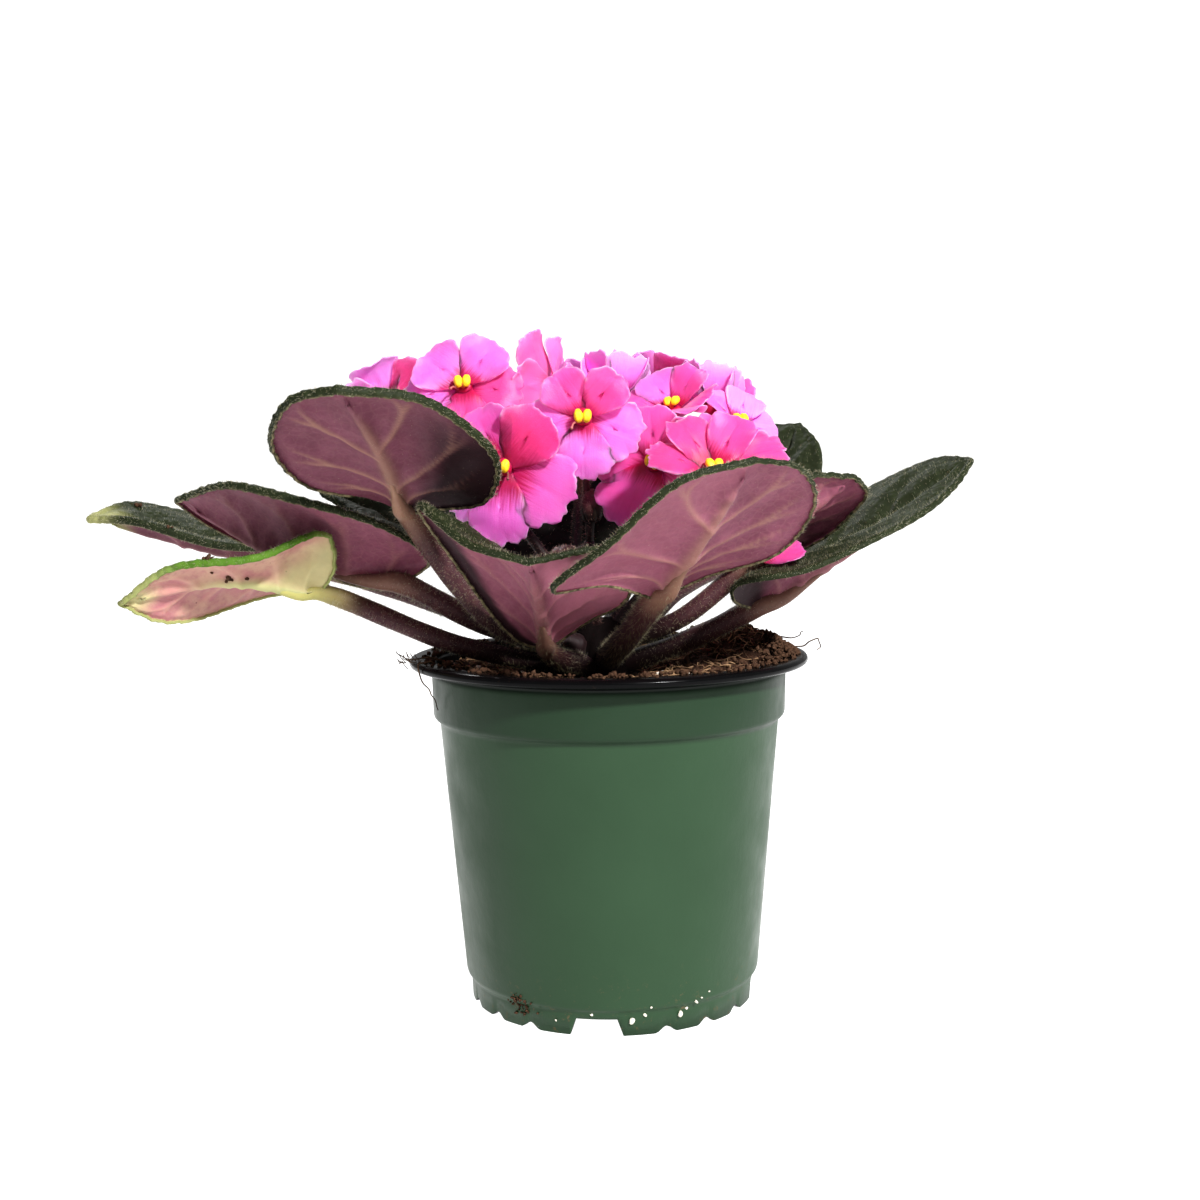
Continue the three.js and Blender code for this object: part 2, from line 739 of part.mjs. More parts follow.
function flowerStalk(data) {
  const fork = vector(data.fork);
  const root = crownPoint(data.root, CROWN.topRadius - 2);
  const main = curveThrough([root, vector(data.bend), fork]);
  const made = [stem(main, () => STALK.radius, STALK.steps, STALK.sides)];
  const lead = fork.clone().sub(vector(data.bend)).normalize();
  const start = fork.clone().addScaledVector(lead, -1.2);
  for (const number of data.blooms) {
    const bloom = BLOOMS.find((b) => b.name === `bloom_${number}`);
    const out = vector(bloom.faces).normalize();
    const end = vector(bloom.at).addScaledVector(out, -HUB.back - GAP);
    const before = end.clone().addScaledVector(out, -6).add(new THREE.Vector3(0, 0, -1.5));
    const foot = end.clone().addScaledVector(out, -1);
    made.push(stem(curveThrough([start, before, foot]), () => STALK.pedicel, 3, 4));
    made.push(calyx(end, out));
  }
  for (const at of data.buds.map(vector)) {
    const out = at.clone().sub(start).normalize();
    made.push(stem(curveThrough([start, start.clone().lerp(at, 0.5), at]), () => STALK.pedicel, 2, 4));
    const turn = new THREE.Quaternion().setFromUnitVectors(new THREE.Vector3(0, 0, 1), out);
    const matrix = new THREE.Matrix4().makeRotationFromQuaternion(turn).setPosition(at);
    const ball = new THREE.SphereGeometry(1, 6, 4).scale(BUD.radius, BUD.radius, BUD.length);
    made.push(place(manifoldOf(ball), matrix));
  }
  return union(made).subtract(crownBody(GAP));
}

// The parts as a scene
const group = new THREE.Group();

function add(name, solid, color, roughness) {
  const mesh = new THREE.Mesh(
    geometryOf(solid),
    new THREE.MeshStandardMaterial({ color, roughness, metalness: 0 }),
  );
  mesh.name = name;
  group.add(mesh);
}

add("pot", pot(), 0x3f5f47, 0.4);
add("soil", soil(), 0x3a2414, 1);
add("crown", crownBody(0), 0x5a3a34, 0.8);
for (const data of LEAVES) add(data.name, leaf(data), data.color, 0.75);
for (const data of STALKS) add(data.name, flowerStalk(data), 0x6b4038, 0.8);
for (const data of BLOOMS) {
  add(data.name, corolla(data), 0xf25aa8, 0.6);
  add(data.name.replace("bloom", "anthers"), anthers(data), 0xf2d21e, 0.6);
}

add("fallen_petal", fallenPetal(), 0xee4f9c, 0.6);

export default group;
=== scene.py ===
# The looks of the potted African violet: fine leaves with veins and hairs, ruffled petals, peat with
# crumbs and fibres, and a two-colour plastic pot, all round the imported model. Lengths are in
# millimetres in the tables and functions, and turn into metres where a mesh is made.
import math
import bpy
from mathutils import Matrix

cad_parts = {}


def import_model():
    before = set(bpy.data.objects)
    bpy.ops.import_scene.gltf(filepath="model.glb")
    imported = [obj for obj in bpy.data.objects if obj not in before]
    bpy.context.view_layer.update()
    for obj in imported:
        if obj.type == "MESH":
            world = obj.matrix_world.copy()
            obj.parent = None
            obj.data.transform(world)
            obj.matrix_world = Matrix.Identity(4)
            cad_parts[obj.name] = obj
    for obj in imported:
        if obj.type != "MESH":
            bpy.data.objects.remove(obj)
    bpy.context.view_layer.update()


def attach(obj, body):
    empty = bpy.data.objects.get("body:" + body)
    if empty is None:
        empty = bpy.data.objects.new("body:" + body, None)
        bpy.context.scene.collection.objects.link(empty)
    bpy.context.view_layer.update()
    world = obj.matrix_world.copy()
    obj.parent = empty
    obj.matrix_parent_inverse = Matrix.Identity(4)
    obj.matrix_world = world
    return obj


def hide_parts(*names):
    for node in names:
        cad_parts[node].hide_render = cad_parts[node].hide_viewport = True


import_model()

from types import SimpleNamespace as Sizes

import bpy
import numpy as np
from mathutils import Matrix, Vector

MM = 0.001
TURN = 2 * math.pi


# Small sums
def smooth(low, high, x):
    t = np.clip((x - low) / (high - low), 0, 1)
    return t * t * (3 - 2 * t)


def lerp(a, b, t):
    return a + (b - a) * t


def length(v):
    return np.linalg.norm(v, axis=-1, keepdims=True)


def unit(v):
    return v / np.maximum(length(v), 1e-9)


def bell(x, width):
    """1 where x is 0, falling smoothly to nothing over about this width."""
    return np.exp(-((x / width) ** 2))


def ripple(points, wavelength, seed, waves=7):
    """A smooth, seeded, wavy number between about -1 and 1 for each point."""
    rng = np.random.default_rng(seed)
    total = np.zeros(points.shape[:-1])
    for _ in range(waves):
        direction = unit(rng.normal(size=3)) * TURN / wavelength * rng.uniform(0.7, 1.4)
        total += np.sin(points @ direction + rng.uniform(0, TURN))
    return total / math.sqrt(waves)


def spun(points, degrees):
    """Points turned about Z; more degrees turn them to the left."""
    cos, sin = math.cos(math.radians(degrees)), math.sin(math.radians(degrees))
    return points @ np.array([[cos, sin, 0], [-sin, cos, 0], [0, 0, 1]])


def ring(radius, angles, z):
    """Points about the Z axis at a radius, angles in radians, and a height or heights."""
    heights = np.broadcast_to(z, np.shape(angles))
    return np.stack([radius * np.cos(angles), radius * np.sin(angles), heights], 1)


class Curve:
    """A centripetal Catmull-Rom curve through points, read by the share of its length."""

    def __init__(self, points, steps=120):
        p = np.array(points, float)
        p = np.vstack([2 * p[0] - p[1], p, 2 * p[-1] - p[-2]])
        u = np.linspace(0, 1, steps, endpoint=False)[:, None]
        pieces = []
        for p0, p1, p2, p3 in zip(p, p[1:], p[2:], p[3:]):
            d0, d1, d2 = (np.sum((b - a) ** 2) ** 0.25 for a, b in ((p0, p1), (p1, p2), (p2, p3)))
            start = ((p1 - p0) / d0 - (p2 - p0) / (d0 + d1) + (p2 - p1) / d1) * d1
            end = ((p2 - p1) / d1 - (p3 - p1) / (d1 + d2) + (p3 - p2) / d2) * d1
            square = (-3 * p1 + 3 * p2 - 2 * start - end) * u**2
            pieces.append(p1 + start * u + square + (2 * p1 - 2 * p2 + start + end) * u**3)
        self.points = np.vstack([*pieces, p[-2][None]])
        legs = np.linalg.norm(np.diff(self.points, axis=0), axis=1)
        self.at_length = np.concatenate([[0], np.cumsum(legs)])
        self.length = self.at_length[-1]

    def at(self, share):
        where = np.asarray(share) * self.length
        return np.stack([np.interp(where, self.at_length, self.points[:, k]) for k in range(3)], -1)

    def tangent(self, share):
        share = np.asarray(share)
        return unit(self.at(np.minimum(share + 0.004, 1)) - self.at(np.maximum(share - 0.004, 0)))


# Meshes
def triangles_of(faces):
    if faces.shape[1] == 3:
        return faces
    return np.vstack([faces[:, [0, 1, 2]], faces[:, [0, 2, 3]]])


def vertex_normals(points, faces):
    tri = triangles_of(faces)
    a, b, c = points[tri[:, 0]], points[tri[:, 1]], points[tri[:, 2]]
    flat = np.cross(b - a, c - a)
    total = np.zeros_like(points)
    for k in range(3):
        np.add.at(total, tri[:, k], flat)
    return unit(total)


class Build:
    """Closed bodies gathered into one mesh, each with its material and its attributes."""

    def __init__(self):
        self.points, self.faces, self.slots, self.fields = [], [], [], []
        self.count = 0

    def add(self, points, faces, slot=0, **fields):
        """fields are one number, or one vector, for each point, or one number for all."""
        self.points.append(points)
        self.faces.append(faces + self.count)
        self.slots.append(np.broadcast_to(slot, len(faces)))
        spread = {k: np.broadcast_to(v, (len(points), *np.shape(v)[1:])) for k, v in fields.items()}
        self.fields.append(spread)
        self.count += len(points)

    def add_rod(self, curve, steps, radius, sides, **fields):
        """Adds a round stem along a curve, and gives back its points and faces."""
        points, faces = tube(curve.at(np.linspace(0, 1, steps)), radius, sides)
        self.add(points, faces, **fields)
        return points, faces

    def object(self, name, skins, slot, replaces=()):
        """Makes the mesh, smooth all over, with these SKINS. slot is not used."""
        mesh = bpy.data.meshes.new(name)
        points = np.vstack(self.points)
        mesh.vertices.add(len(points))
        mesh.vertices.foreach_set("co", (points * MM).astype(np.float32).ravel())
        sizes = np.concatenate([np.full(len(f), f.shape[1]) for f in self.faces])
        corners = np.concatenate([f.ravel() for f in self.faces])
        mesh.loops.add(len(corners))
        mesh.loops.foreach_set("vertex_index", corners.astype(np.int32))
        mesh.polygons.add(len(sizes))
        mesh.polygons.foreach_set("loop_start", (np.cumsum(sizes) - sizes).astype(np.int32))
        mesh.polygons.foreach_set("material_index", np.concatenate(self.slots).astype(np.int32))
        for field in sorted({k for fields in self.fields for k in fields}):
            self.write_field(mesh, field)
        mesh.update(calc_edges=True)
        mesh.validate()
        mesh.shade_smooth()
        for skin in skins:
            mesh.materials.append(SKINS[skin])
        made = bpy.data.objects.new(name, mesh)
        bpy.context.scene.collection.objects.link(made)
        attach(made, "root")
        if replaces:
            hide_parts(*replaces)

    def write_field(self, mesh, field):
        shape = next(fields[field].shape[1:] for fields in self.fields if field in fields)
        values = [
            fields.get(field, np.zeros((len(points), *shape)))
            for points, fields in zip(self.points, self.fields)
        ]
        kind = ("FLOAT", "value") if not shape else ("FLOAT_VECTOR", "vector")
        layer = mesh.attributes.new(field, kind[0], "POINT")
        layer.data.foreach_set(kind[1], np.concatenate(values).astype(np.float32).ravel())


def ring_faces(rings, sides):
    """Quads that join rings of points, which lie one after another."""
    k = np.arange(sides)
    after = (k + 1) % sides
    strips = [np.stack([j * sides + k, j * sides + after, (j + 1) * sides + after, (j + 1) * sides + k], 1)
              for j in range(rings - 1)]
    return np.vstack(strips)


def capped(rings):
    """The points of equal rings and the triangles over them, with a fan on the first and the last ring."""
    sides = len(rings[0])
    points = np.vstack(rings)
    first, last = len(points), len(points) + 1
    whole = np.vstack([points, points[:sides].mean(0), points[-sides:].mean(0)])
    k = np.arange(sides)
    after = (k + 1) % sides
    end = len(points) - sides
    fans = [
        np.stack([np.full(sides, first), after, k], 1),
        np.stack([np.full(sides, last), end + k, end + after], 1),
    ]
    return whole, np.vstack([triangles_of(ring_faces(len(rings), sides)), *fans])


def thick(low, high, faces, sides):
    """A closed sheet of low, of high turned over, and of a strip between their last rings."""
    size = len(low)
    edge = size - sides
    k = np.arange(sides)
    after = (k + 1) % sides
    strip = np.stack([edge + after, edge + k, size + edge + k, size + edge + after], 1)
    if faces.shape[1] == 3:
        strip = triangles_of(strip)
    return np.vstack([low, high]), np.vstack([faces, faces[:, ::-1] + size, strip])


def tube(path, radii, sides, squash=None):
    """A closed tube along points. squash is (direction, share): the tube is that much narrower that way."""
    path = np.asarray(path, float)
    radii = np.broadcast_to(radii, len(path))
    along = unit(np.gradient(path, axis=0))
    side = np.cross(along[0], [0.3, 0.2, 1.0])
    angles = np.arange(sides) / sides * TURN
    rings = []
    for point, forward, radius in zip(path, along, radii):
        side = side - forward * (side @ forward)
        side = side / np.linalg.norm(side)
        offset = np.cos(angles)[:, None] * side + np.sin(angles)[:, None] * np.cross(forward, side)
        if squash is not None:
            axis = np.asarray(squash[0]) - forward * (np.asarray(squash[0]) @ forward)
            axis = axis / np.linalg.norm(axis)
            offset = offset - axis * (offset @ axis)[:, None] * (1 - squash[1])
        rings.append(point + offset * radius)
    return capped(rings)


def turned(outline, sides):
    """A closed body turned from (radius, height) points about Z."""
    angles = np.arange(sides) / sides * TURN
    return capped([ring(radius, angles, z) for radius, z in outline])


def softened(outline, radius, steps=3):
    """An open outline whose inner corners are rounded."""
    points = np.array(outline, float)
    made = [points[0]]
    for before, corner, after in zip(points, points[1:], points[2:]):
        cut = [min(radius, 0.45 * np.linalg.norm(q - corner)) for q in (before, after)]
        start = corner + unit(before - corner) * cut[0]
        end = corner + unit(after - corner) * cut[1]
        for u in np.linspace(0, 1, steps + 1):
            made.append((1 - u) ** 2 * start + 2 * u * (1 - u) * corner + u**2 * end)
    return np.array([*made, points[-1]])


HAIR = Sizes(radius=0.05, root_depth=0.12, lean=0.28, shortest=0.55, longest=1.15)


def fuzz(points, faces, density, reach, seed, radius=HAIR.radius):
    """Slim closed hairs that stand on faces. density is hairs per square millimetre, for each face."""
    rng = np.random.default_rng(seed)
    tri = triangles_of(faces)
    density = np.broadcast_to(density, len(faces))
    if faces.shape[1] == 4:
        density = np.concatenate([density, density])
    a, b, c = points[tri[:, 0]], points[tri[:, 1]], points[tri[:, 2]]
    flat = np.cross(b - a, c - a)
    counts = rng.poisson(np.linalg.norm(flat, axis=1) / 2 * density)
    pick = np.repeat(np.arange(len(tri)), counts)
    u, v = rng.random((2, len(pick), 1))
    u, v = np.where(u + v > 1, 1 - u, u), np.where(u + v > 1, 1 - v, v)
    roots = a[pick] + (b - a)[pick] * u + (c - a)[pick] * v
    out = unit(unit(flat[pick]) + rng.normal(scale=HAIR.lean, size=(len(pick), 3)))
    tips = roots + out * (reach * rng.uniform(HAIR.shortest, HAIR.longest, size=(len(pick), 1)))
    side = unit(np.cross(out, rng.normal(size=(len(pick), 3))))
    other = np.cross(out, side)
    foot = roots - out * HAIR.root_depth
    thirds = [(math.cos(k * TURN / 3), math.sin(k * TURN / 3)) for k in range(3)]
    corners = [foot + radius * (cos * side + sin * other) for cos, sin in thirds]
    start = np.arange(len(pick))[:, None] * 4
    hair_faces = np.vstack([start + corner for corner in ([0, 1, 3], [1, 2, 3], [2, 0, 3], [2, 1, 0])])
    return np.stack([*corners, tips], 1).reshape(-1, 3), hair_faces


# Materials. Colours are as seen, 0 to 255 for red, green and blue.
def rgb(red, green, blue):
    """A seen colour for a shader."""
    linear = [((c / 255 + 0.055) / 1.055) ** 2.4 if c > 10 else c / 255 / 12.92 for c in (red, green, blue)]
    return (*linear, 1.0)


class Shader:
    """A material, short names for the nodes that it is drawn with, and the skin colour so far."""

    def __init__(self, name):
        self.material = bpy.data.materials.new(name)
        self.material.use_nodes = True
        self.tree = self.material.node_tree
        self.tree.nodes.clear()
        self.place = self.node("ShaderNodeTexCoord").outputs["Object"]
        self.skin = None

    def node(self, kind, settings=None, **inputs):
        made = self.tree.nodes.new(kind)
        for key, value in (settings or {}).items():
            setattr(made, key, value)
        for key, value in inputs.items():
            self.set(made.inputs[key.replace("_", " ")], value)
        return made

    def set(self, socket, value):
        if isinstance(value, bpy.types.NodeSocket):
            self.tree.links.new(value, socket)
        else:
            socket.default_value = value

    def field(self, name, output="Fac"):
        return self.node("ShaderNodeAttribute", {"attribute_name": name}).outputs[output]

    def noise(self, size, detail=3.0, rough=0.5, bend=0.0, place=None, per=MM):
        """Noise with features of about this size in millimetres."""
        made = self.node("ShaderNodeTexNoise", Vector=place or self.place, Scale=1 / (size * per),
                         Detail=detail, Roughness=rough, Distortion=bend)
        return made.outputs["Fac"]

    def cells(self, size, feature="F1"):
        scale = 1 / (size * MM)
        made = self.node("ShaderNodeTexVoronoi", {"feature": feature}, Vector=self.place, Scale=scale)
        return made.outputs["Distance"]

    def stretched(self, scale, source=None):
        return self.node("ShaderNodeMapping", Vector=source or self.place, Scale=scale).outputs["Vector"]

    def height(self):
        return self.node("ShaderNodeSeparateXYZ", Vector=self.place).outputs["Z"]

    def maths(self, kind, a, b, clamp=False):
        made = self.node("ShaderNodeMath", {"operation": kind, "use_clamp": clamp})
        self.set(made.inputs[0], a)
        self.set(made.inputs[1], b)
        return made.outputs[0]

    def times(self, a, b):
        return self.maths("MULTIPLY", a, b)

    def between(self, value, low, high, out_low=0.0, out_high=1.0):
        """Goes softly from out_low to out_high while the value goes from low to high."""
        made = self.node("ShaderNodeMapRange", {"interpolation_type": "SMOOTHSTEP"}, Value=value)
        for key, number in zip(("From Min", "From Max", "To Min", "To Max"), (low, high, out_low, out_high)):
            made.inputs[key].default_value = number
        return made.outputs["Result"]

    def mix(self, share, a, b):
        made = self.node("ShaderNodeMix", {"data_type": "RGBA"})
        for index, value in ((0, share), (6, a), (7, b)):
            self.set(made.inputs[index], rgb(*value) if isinstance(value, tuple) else value)
        return made.outputs[2]

    def over(self, share, color):
        """Lays a colour over the skin by a share."""
        self.skin = self.mix(share, self.skin, color)

    def bump(self, height, reach, strength=1.0, normal=None):
        """Bump from a 0 to 1 height that stands for this many millimetres."""
        made = self.node("ShaderNodeBump", Height=height, Distance=reach * MM, Strength=strength)
        if normal is not None:
            self.set(made.inputs["Normal"], normal)
        return made.outputs["Normal"]

    def finish(self, roughness, normal=None, gloss=None, soft=None, sheen=None, **settings):
        """soft is (share, metres) of light let through; sheen is (share, roughness, tint)."""
        shader = self.node("ShaderNodeBsdfPrincipled", Base_Color=self.skin, Roughness=roughness, **settings)
        if normal is not None:
            self.set(shader.inputs["Normal"], normal)
        if gloss is not None:
            shader.inputs["Specular IOR Level"].default_value = gloss
        if soft:
            shader.inputs["Subsurface Weight"].default_value = soft[0]
            shader.inputs["Subsurface Radius"].default_value = soft[1]
            shader.inputs["Subsurface Scale"].default_value = 1.0
        if sheen:
            shader.inputs["Sheen Weight"].default_value = sheen[0]
            shader.inputs["Sheen Roughness"].default_value = sheen[1]
            shader.inputs["Sheen Tint"].default_value = rgb(*sheen[2])
        output = self.node("ShaderNodeOutputMaterial")
        self.tree.links.new(shader.outputs[0], output.inputs["Surface"])
        return self.material


FLESH = (0.002, 0.001, 0.0008)


def leaf_under():
    """The mauve underside, with tan veins; a ripe leaf is pink and lime."""
    s = Shader("leaf_under")
    s.skin = s.mix(s.noise(9, 4, 0.6), (106, 54, 70), (150, 90, 110))
    s.over(s.between(s.noise(1.3, 3, 0.6), 0.35, 0.75, 0, 0.3), (94, 45, 61))
    s.over(s.between(s.cells(2.6, "DISTANCE_TO_EDGE"), 0.0, 0.12, 0.16, 0.0), (156, 110, 112))
    s.over(s.field("vein"), (160, 122, 104))
    ripe = s.mix(s.between(s.noise(11, 3), 0.38, 0.6), (184, 128, 126), (192, 156, 136))
    ripe = s.mix(s.between(s.noise(2, 4, 0.6), 0.4, 0.8, 0, 0.6), ripe, (158, 100, 110))
    ripe = s.mix(s.field("vein"), ripe, (212, 176, 150))
    ripe = s.mix(s.between(s.cells(4.4), 0.03, 0.06, 0.9, 0), ripe, (76, 46, 34))
    s.over(s.field("ripe"), ripe)
    lime = s.mix(s.noise(3, 4), (166, 170, 120), (192, 192, 134))
    s.over(s.field("lime"), lime)
    # painted light, a paler pink where a half of the leaf should look lit
    s.over(s.field("light"), (208, 134, 154))
    # painted shade, laid on the underside where it lies in shade
    s.over(s.field("dusk"), (22, 8, 12))
    s.over(s.field("shade"), (16, 6, 8))
    grain = s.bump(s.noise(0.7, 3, 0.6), 0.14, 0.6)
    return s.finish(0.6, grain, gloss=0.25, soft=(0.1, FLESH), sheen=(0.05, 0.5, (225, 205, 205)))


def leaf_upper():
    """The dark green, pebbled upper side, with a pale thin line where the margin ends."""
    s = Shader("leaf_upper")
    s.skin = s.mix(s.noise(8, 4, 0.6), (24, 30, 16), (42, 48, 27))
    dome = s.between(s.cells(2.2), 0.0, 0.75, 1.0, 0.0)
    s.over(s.times(dome, 0.3), (56, 64, 38))
    s.over(s.times(s.field("vein"), 0.7), (68, 74, 52))
    s.over(s.between(s.noise(0.6, 4, 0.7), 0.6, 0.75, 0, 0.3), (96, 100, 64))
    edge = s.mix(s.between(s.noise(1.6, 4, 0.7), 0.35, 0.65), (64, 60, 44), (146, 134, 104))
    s.over(s.times(s.field("rim"), 0.85), edge)
    s.over(s.field("ripe"), s.mix(s.noise(3, 4), (58, 96, 28), (104, 138, 50)))
    s.over(s.field("lime"), s.mix(s.noise(3, 4), (136, 140, 84), (174, 172, 122)))
    s.over(s.field("shade"), (10, 10, 8))
    pebbles = s.maths("ADD", s.times(dome, 0.8), s.times(s.noise(0.6, 3), 0.35))
    return s.finish(0.62, s.bump(pebbles, 0.4, 0.8), gloss=0.16, sheen=(0.05, 0.45, (210, 225, 200)))


def petiole_skin():
    """Petioles and midribs: purple-brown and tan under the blade, with painted shade that darkens them at the
    foot.
    """
    s = Shader("petiole")
    along = s.stretched((1, 1, 0.35))
    s.skin = s.mix(s.noise(3, 4, 0.6, place=along), (48, 22, 28), (80, 43, 48))
    s.over(s.between(s.noise(0.9, 3), 0.4, 0.8, 0, 0.4), (112, 78, 72))
    s.over(s.field("vein"), s.mix(s.noise(2, 3), (134, 98, 84), (156, 122, 100)))
    s.over(s.field("lime"), (176, 172, 104))
    # painted shade, nearly black at the foot where the crown lies in shade
    s.over(s.times(s.field("foot"), 0.9), (24, 12, 13))
    grain = s.bump(s.noise(0.8, 3, place=along), 0.18, 0.7)
    return s.finish(0.55, grain, gloss=0.3, soft=(0.08, FLESH), sheen=(0.06, 0.5, (235, 220, 215)))


def bark_skin():
    """The crown's short stem, painted nearly black for the shade of the leaves."""
    s = Shader("crown_bark")
    s.skin = s.mix(s.noise(2, 5, 0.7), (7, 4, 4), (24, 15, 14))
    return s.finish(0.9, s.bump(s.noise(0.9, 4, 0.7), 0.4, 0.8), gloss=0.12)


def hair_skin(name, color, tip):
    s = Shader(name)
    s.skin = s.mix(s.between(s.noise(3, 2), 0.3, 0.7), color, tip)
    return s.finish(0.45, gloss=0.3, soft=(0.2, (0.001, 0.001, 0.001)))


def petal_skin():
    """Hot pink, crimson round the anthers and on aged petals, lilac on pale ones, with a light lip and
    painted glints; the crimson and the lilac partly paint shade and light.
    """
    s = Shader("petal")
    flat = s.field("petal_place", "Vector")
    out = s.field("out")
    streaks = s.noise(1.0, 3, 0.55, 0.3, s.stretched((2.0, 17.0, 1.0), flat), 1.0)
    s.skin = s.mix(s.noise(6, 3), (240, 62, 128), (248, 84, 160))
    s.over(s.between(streaks, 0.4, 0.8, 0, 0.3), (230, 42, 112))
    s.over(s.between(out, 0.6, 1.1, 0, 0.2), (252, 110, 206))
    # lilac and pale, partly the petal's own tint and partly painted light on petals that should look lit
    s.over(s.field("pale"), s.mix(streaks, (252, 116, 228), (253, 146, 238)))
    # the crimson round the anthers, spread further on some blooms as painted shade
    throat = s.maths("ADD", out, s.times(s.maths("SUBTRACT", streaks, 0.5), 0.35))
    s.over(s.between(throat, 0.1, 0.36, 0.95, 0), (178, 14, 66))
    # paler backs, partly the petal's own and partly painted light that stands for light let through
    s.over(s.times(s.field("back"), 0.3), (255, 170, 236))
    # crimson, partly an aged petal and partly painted shade that deepens some petals
    s.over(s.field("old"), s.mix(s.noise(2.5, 4, 0.7), (150, 22, 60), (222, 62, 116)))
    s.over(s.times(s.field("lip"), s.between(s.noise(2.4, 3), 0.4, 0.65, 0.0, 0.4)), (255, 200, 244))
    # painted glints: tiny bright specks where the petal's cells catch the light
    s.over(s.between(s.noise(0.35, 3, 0.7), 0.66, 0.78, 0, 0.4), (255, 200, 244))
    grain = s.bump(s.cells(0.35), 0.06, 0.6, s.bump(streaks, 0.1, 0.6))
    return s.finish(0.45, grain, gloss=0.3, soft=(0.85, (0.004, 0.002, 0.003)),
                    sheen=(0.1, 0.35, (255, 170, 255)))


def anther_skin():
    s = Shader("anther")
    s.skin = s.mix(s.noise(1.2, 4, 0.6), (246, 188, 12), (255, 232, 60))
    s.over(s.field("base"), (226, 120, 70))
    return s.finish(0.5, s.bump(s.cells(0.3), 0.12, 0.7), soft=(0.2, (0.001, 0.001, 0.0003)))


def stalk_skin():
    """Flower stalks: brown, with greener sepals and pink buds, and painted shade that makes them nearly black
    low down.
    """
    s = Shader("flower_stalk")
    s.skin = s.mix(s.noise(4, 4, 0.6), (86, 40, 40), (140, 84, 72))
    s.over(s.field("green"), s.mix(s.noise(1.5, 3), (96, 84, 56), (128, 96, 78)))
    s.over(s.field("blush"), s.mix(s.noise(1.8, 3), (150, 76, 82), (196, 120, 116)))
    # painted shade, nearly black below the blooms where the crown lies in shade
    s.over(s.between(s.height(), 0.136, 0.166, 0.93, 0.0), (14, 5, 7))
    return s.finish(0.5, s.bump(s.noise(0.6, 3), 0.12, 0.7), soft=(0.15, (0.002, 0.001, 0.001)))


def peat_skin():
    s = Shader("peat")
    s.skin = s.mix(s.noise(5, 6, 0.7), (24, 15, 11), (80, 54, 38))
    s.over(s.between(s.noise(0.9, 5, 0.75), 0.5, 0.75, 0, 0.7), (104, 76, 56))
    s.over(s.between(s.cells(1.1), 0.12, 0.3, 0.7, 0), (24, 14, 9))
    clods = s.maths("ADD", s.noise(2.2, 6, 0.75), s.times(s.cells(0.9), 0.5))
    return s.finish(0.95, s.bump(clods, 1.1, 1.0), gloss=0.2)


def crumb_skin():
    s = Shader("crumb")
    s.skin = s.mix(s.noise(1.6, 5, 0.75), (10, 7, 5), (104, 76, 58))
    s.over(s.between(s.noise(0.6, 4, 0.7), 0.5, 0.8, 0, 0.6), (140, 112, 90))
    return s.finish(0.95, s.bump(s.noise(0.5, 4, 0.7), 0.3, 1.0), gloss=0.2)


def fibre_skin(name, dark, light):
    s = Shader(name)
    s.skin = s.mix(s.between(s.noise(4, 3), 0.3, 0.7), dark, light)
    return s.finish(0.8, s.bump(s.noise(0.3, 3), 0.08, 0.8), gloss=0.25)


def perlite_skin():
    s = Shader("perlite")
    s.skin = s.mix(s.noise(0.8, 5, 0.7), (208, 196, 176), (250, 246, 236))
    return s.finish(0.8, s.bump(s.noise(0.4, 4), 0.25, 1.0))


def pot_green():
    """Moulded green plastic with faint flow marks and dust; painted shade darkens the band and blackens the
    neck under the rim.
    """
    s = Shader("pot_green")
    height = s.height()
    s.skin = s.mix(s.noise(26, 3), (42, 65, 44), (50, 74, 52))
    # painted shade of the rim's flange: a darker band, and a nearly black neck just under the rim
    s.over(s.between(height, 0.0795, 0.0815, 0.0, 0.55), (18, 36, 22))
    s.over(s.between(height, 0.0935, 0.0952, 0.0, 0.9), (8, 14, 10))
    low = s.between(height, 0.0, 0.022, 1.0, 0.0)
    dust = s.times(low, s.between(s.noise(2.2, 6, 0.75), 0.58, 0.7))
    s.over(s.times(dust, 0.6), (120, 96, 70))
    s.over(s.between(s.noise(1.6, 8, 0.8, 0, s.stretched((1, 1, 0.3))), 0.68, 0.82, 0, 0.18), (110, 134, 112))
    waves = s.bump(s.noise(9, 2), 0.3, 0.6)
    grain = s.bump(s.noise(0.9, 3), 0.05, 0.5, waves)
    polish = s.between(s.noise(14, 4), 0.3, 0.7, 0.3, 0.44)
    return s.finish(s.maths("ADD", polish, s.times(dust, 0.3), True), grain, gloss=0.22)


def pot_black():
    s = Shader("pot_black")
    s.skin = s.mix(s.noise(5, 4), (7, 7, 8), (15, 15, 16))
    s.over(s.between(s.noise(1.4, 6, 0.75), 0.62, 0.76, 0, 0.35), (84, 64, 46))
    waves = s.bump(s.noise(5, 2), 0.12, 0.5)
    return s.finish(s.between(s.noise(8, 5, 0.7), 0.3, 0.75, 0.14, 0.3), waves, gloss=0.1)


def floor_skin():
    """A pale grey that glows enough to look white under any lamp."""
    s = Shader("floor")
    s.skin = s.mix(s.noise(300, 3), (140, 140, 140), (150, 150, 150))
    grain = s.bump(s.noise(4, 3), 0.03, 0.3)
    return s.finish(0.85, grain, gloss=0.2, Emission_Color=rgb(255, 255, 255), Emission_Strength=0.96)


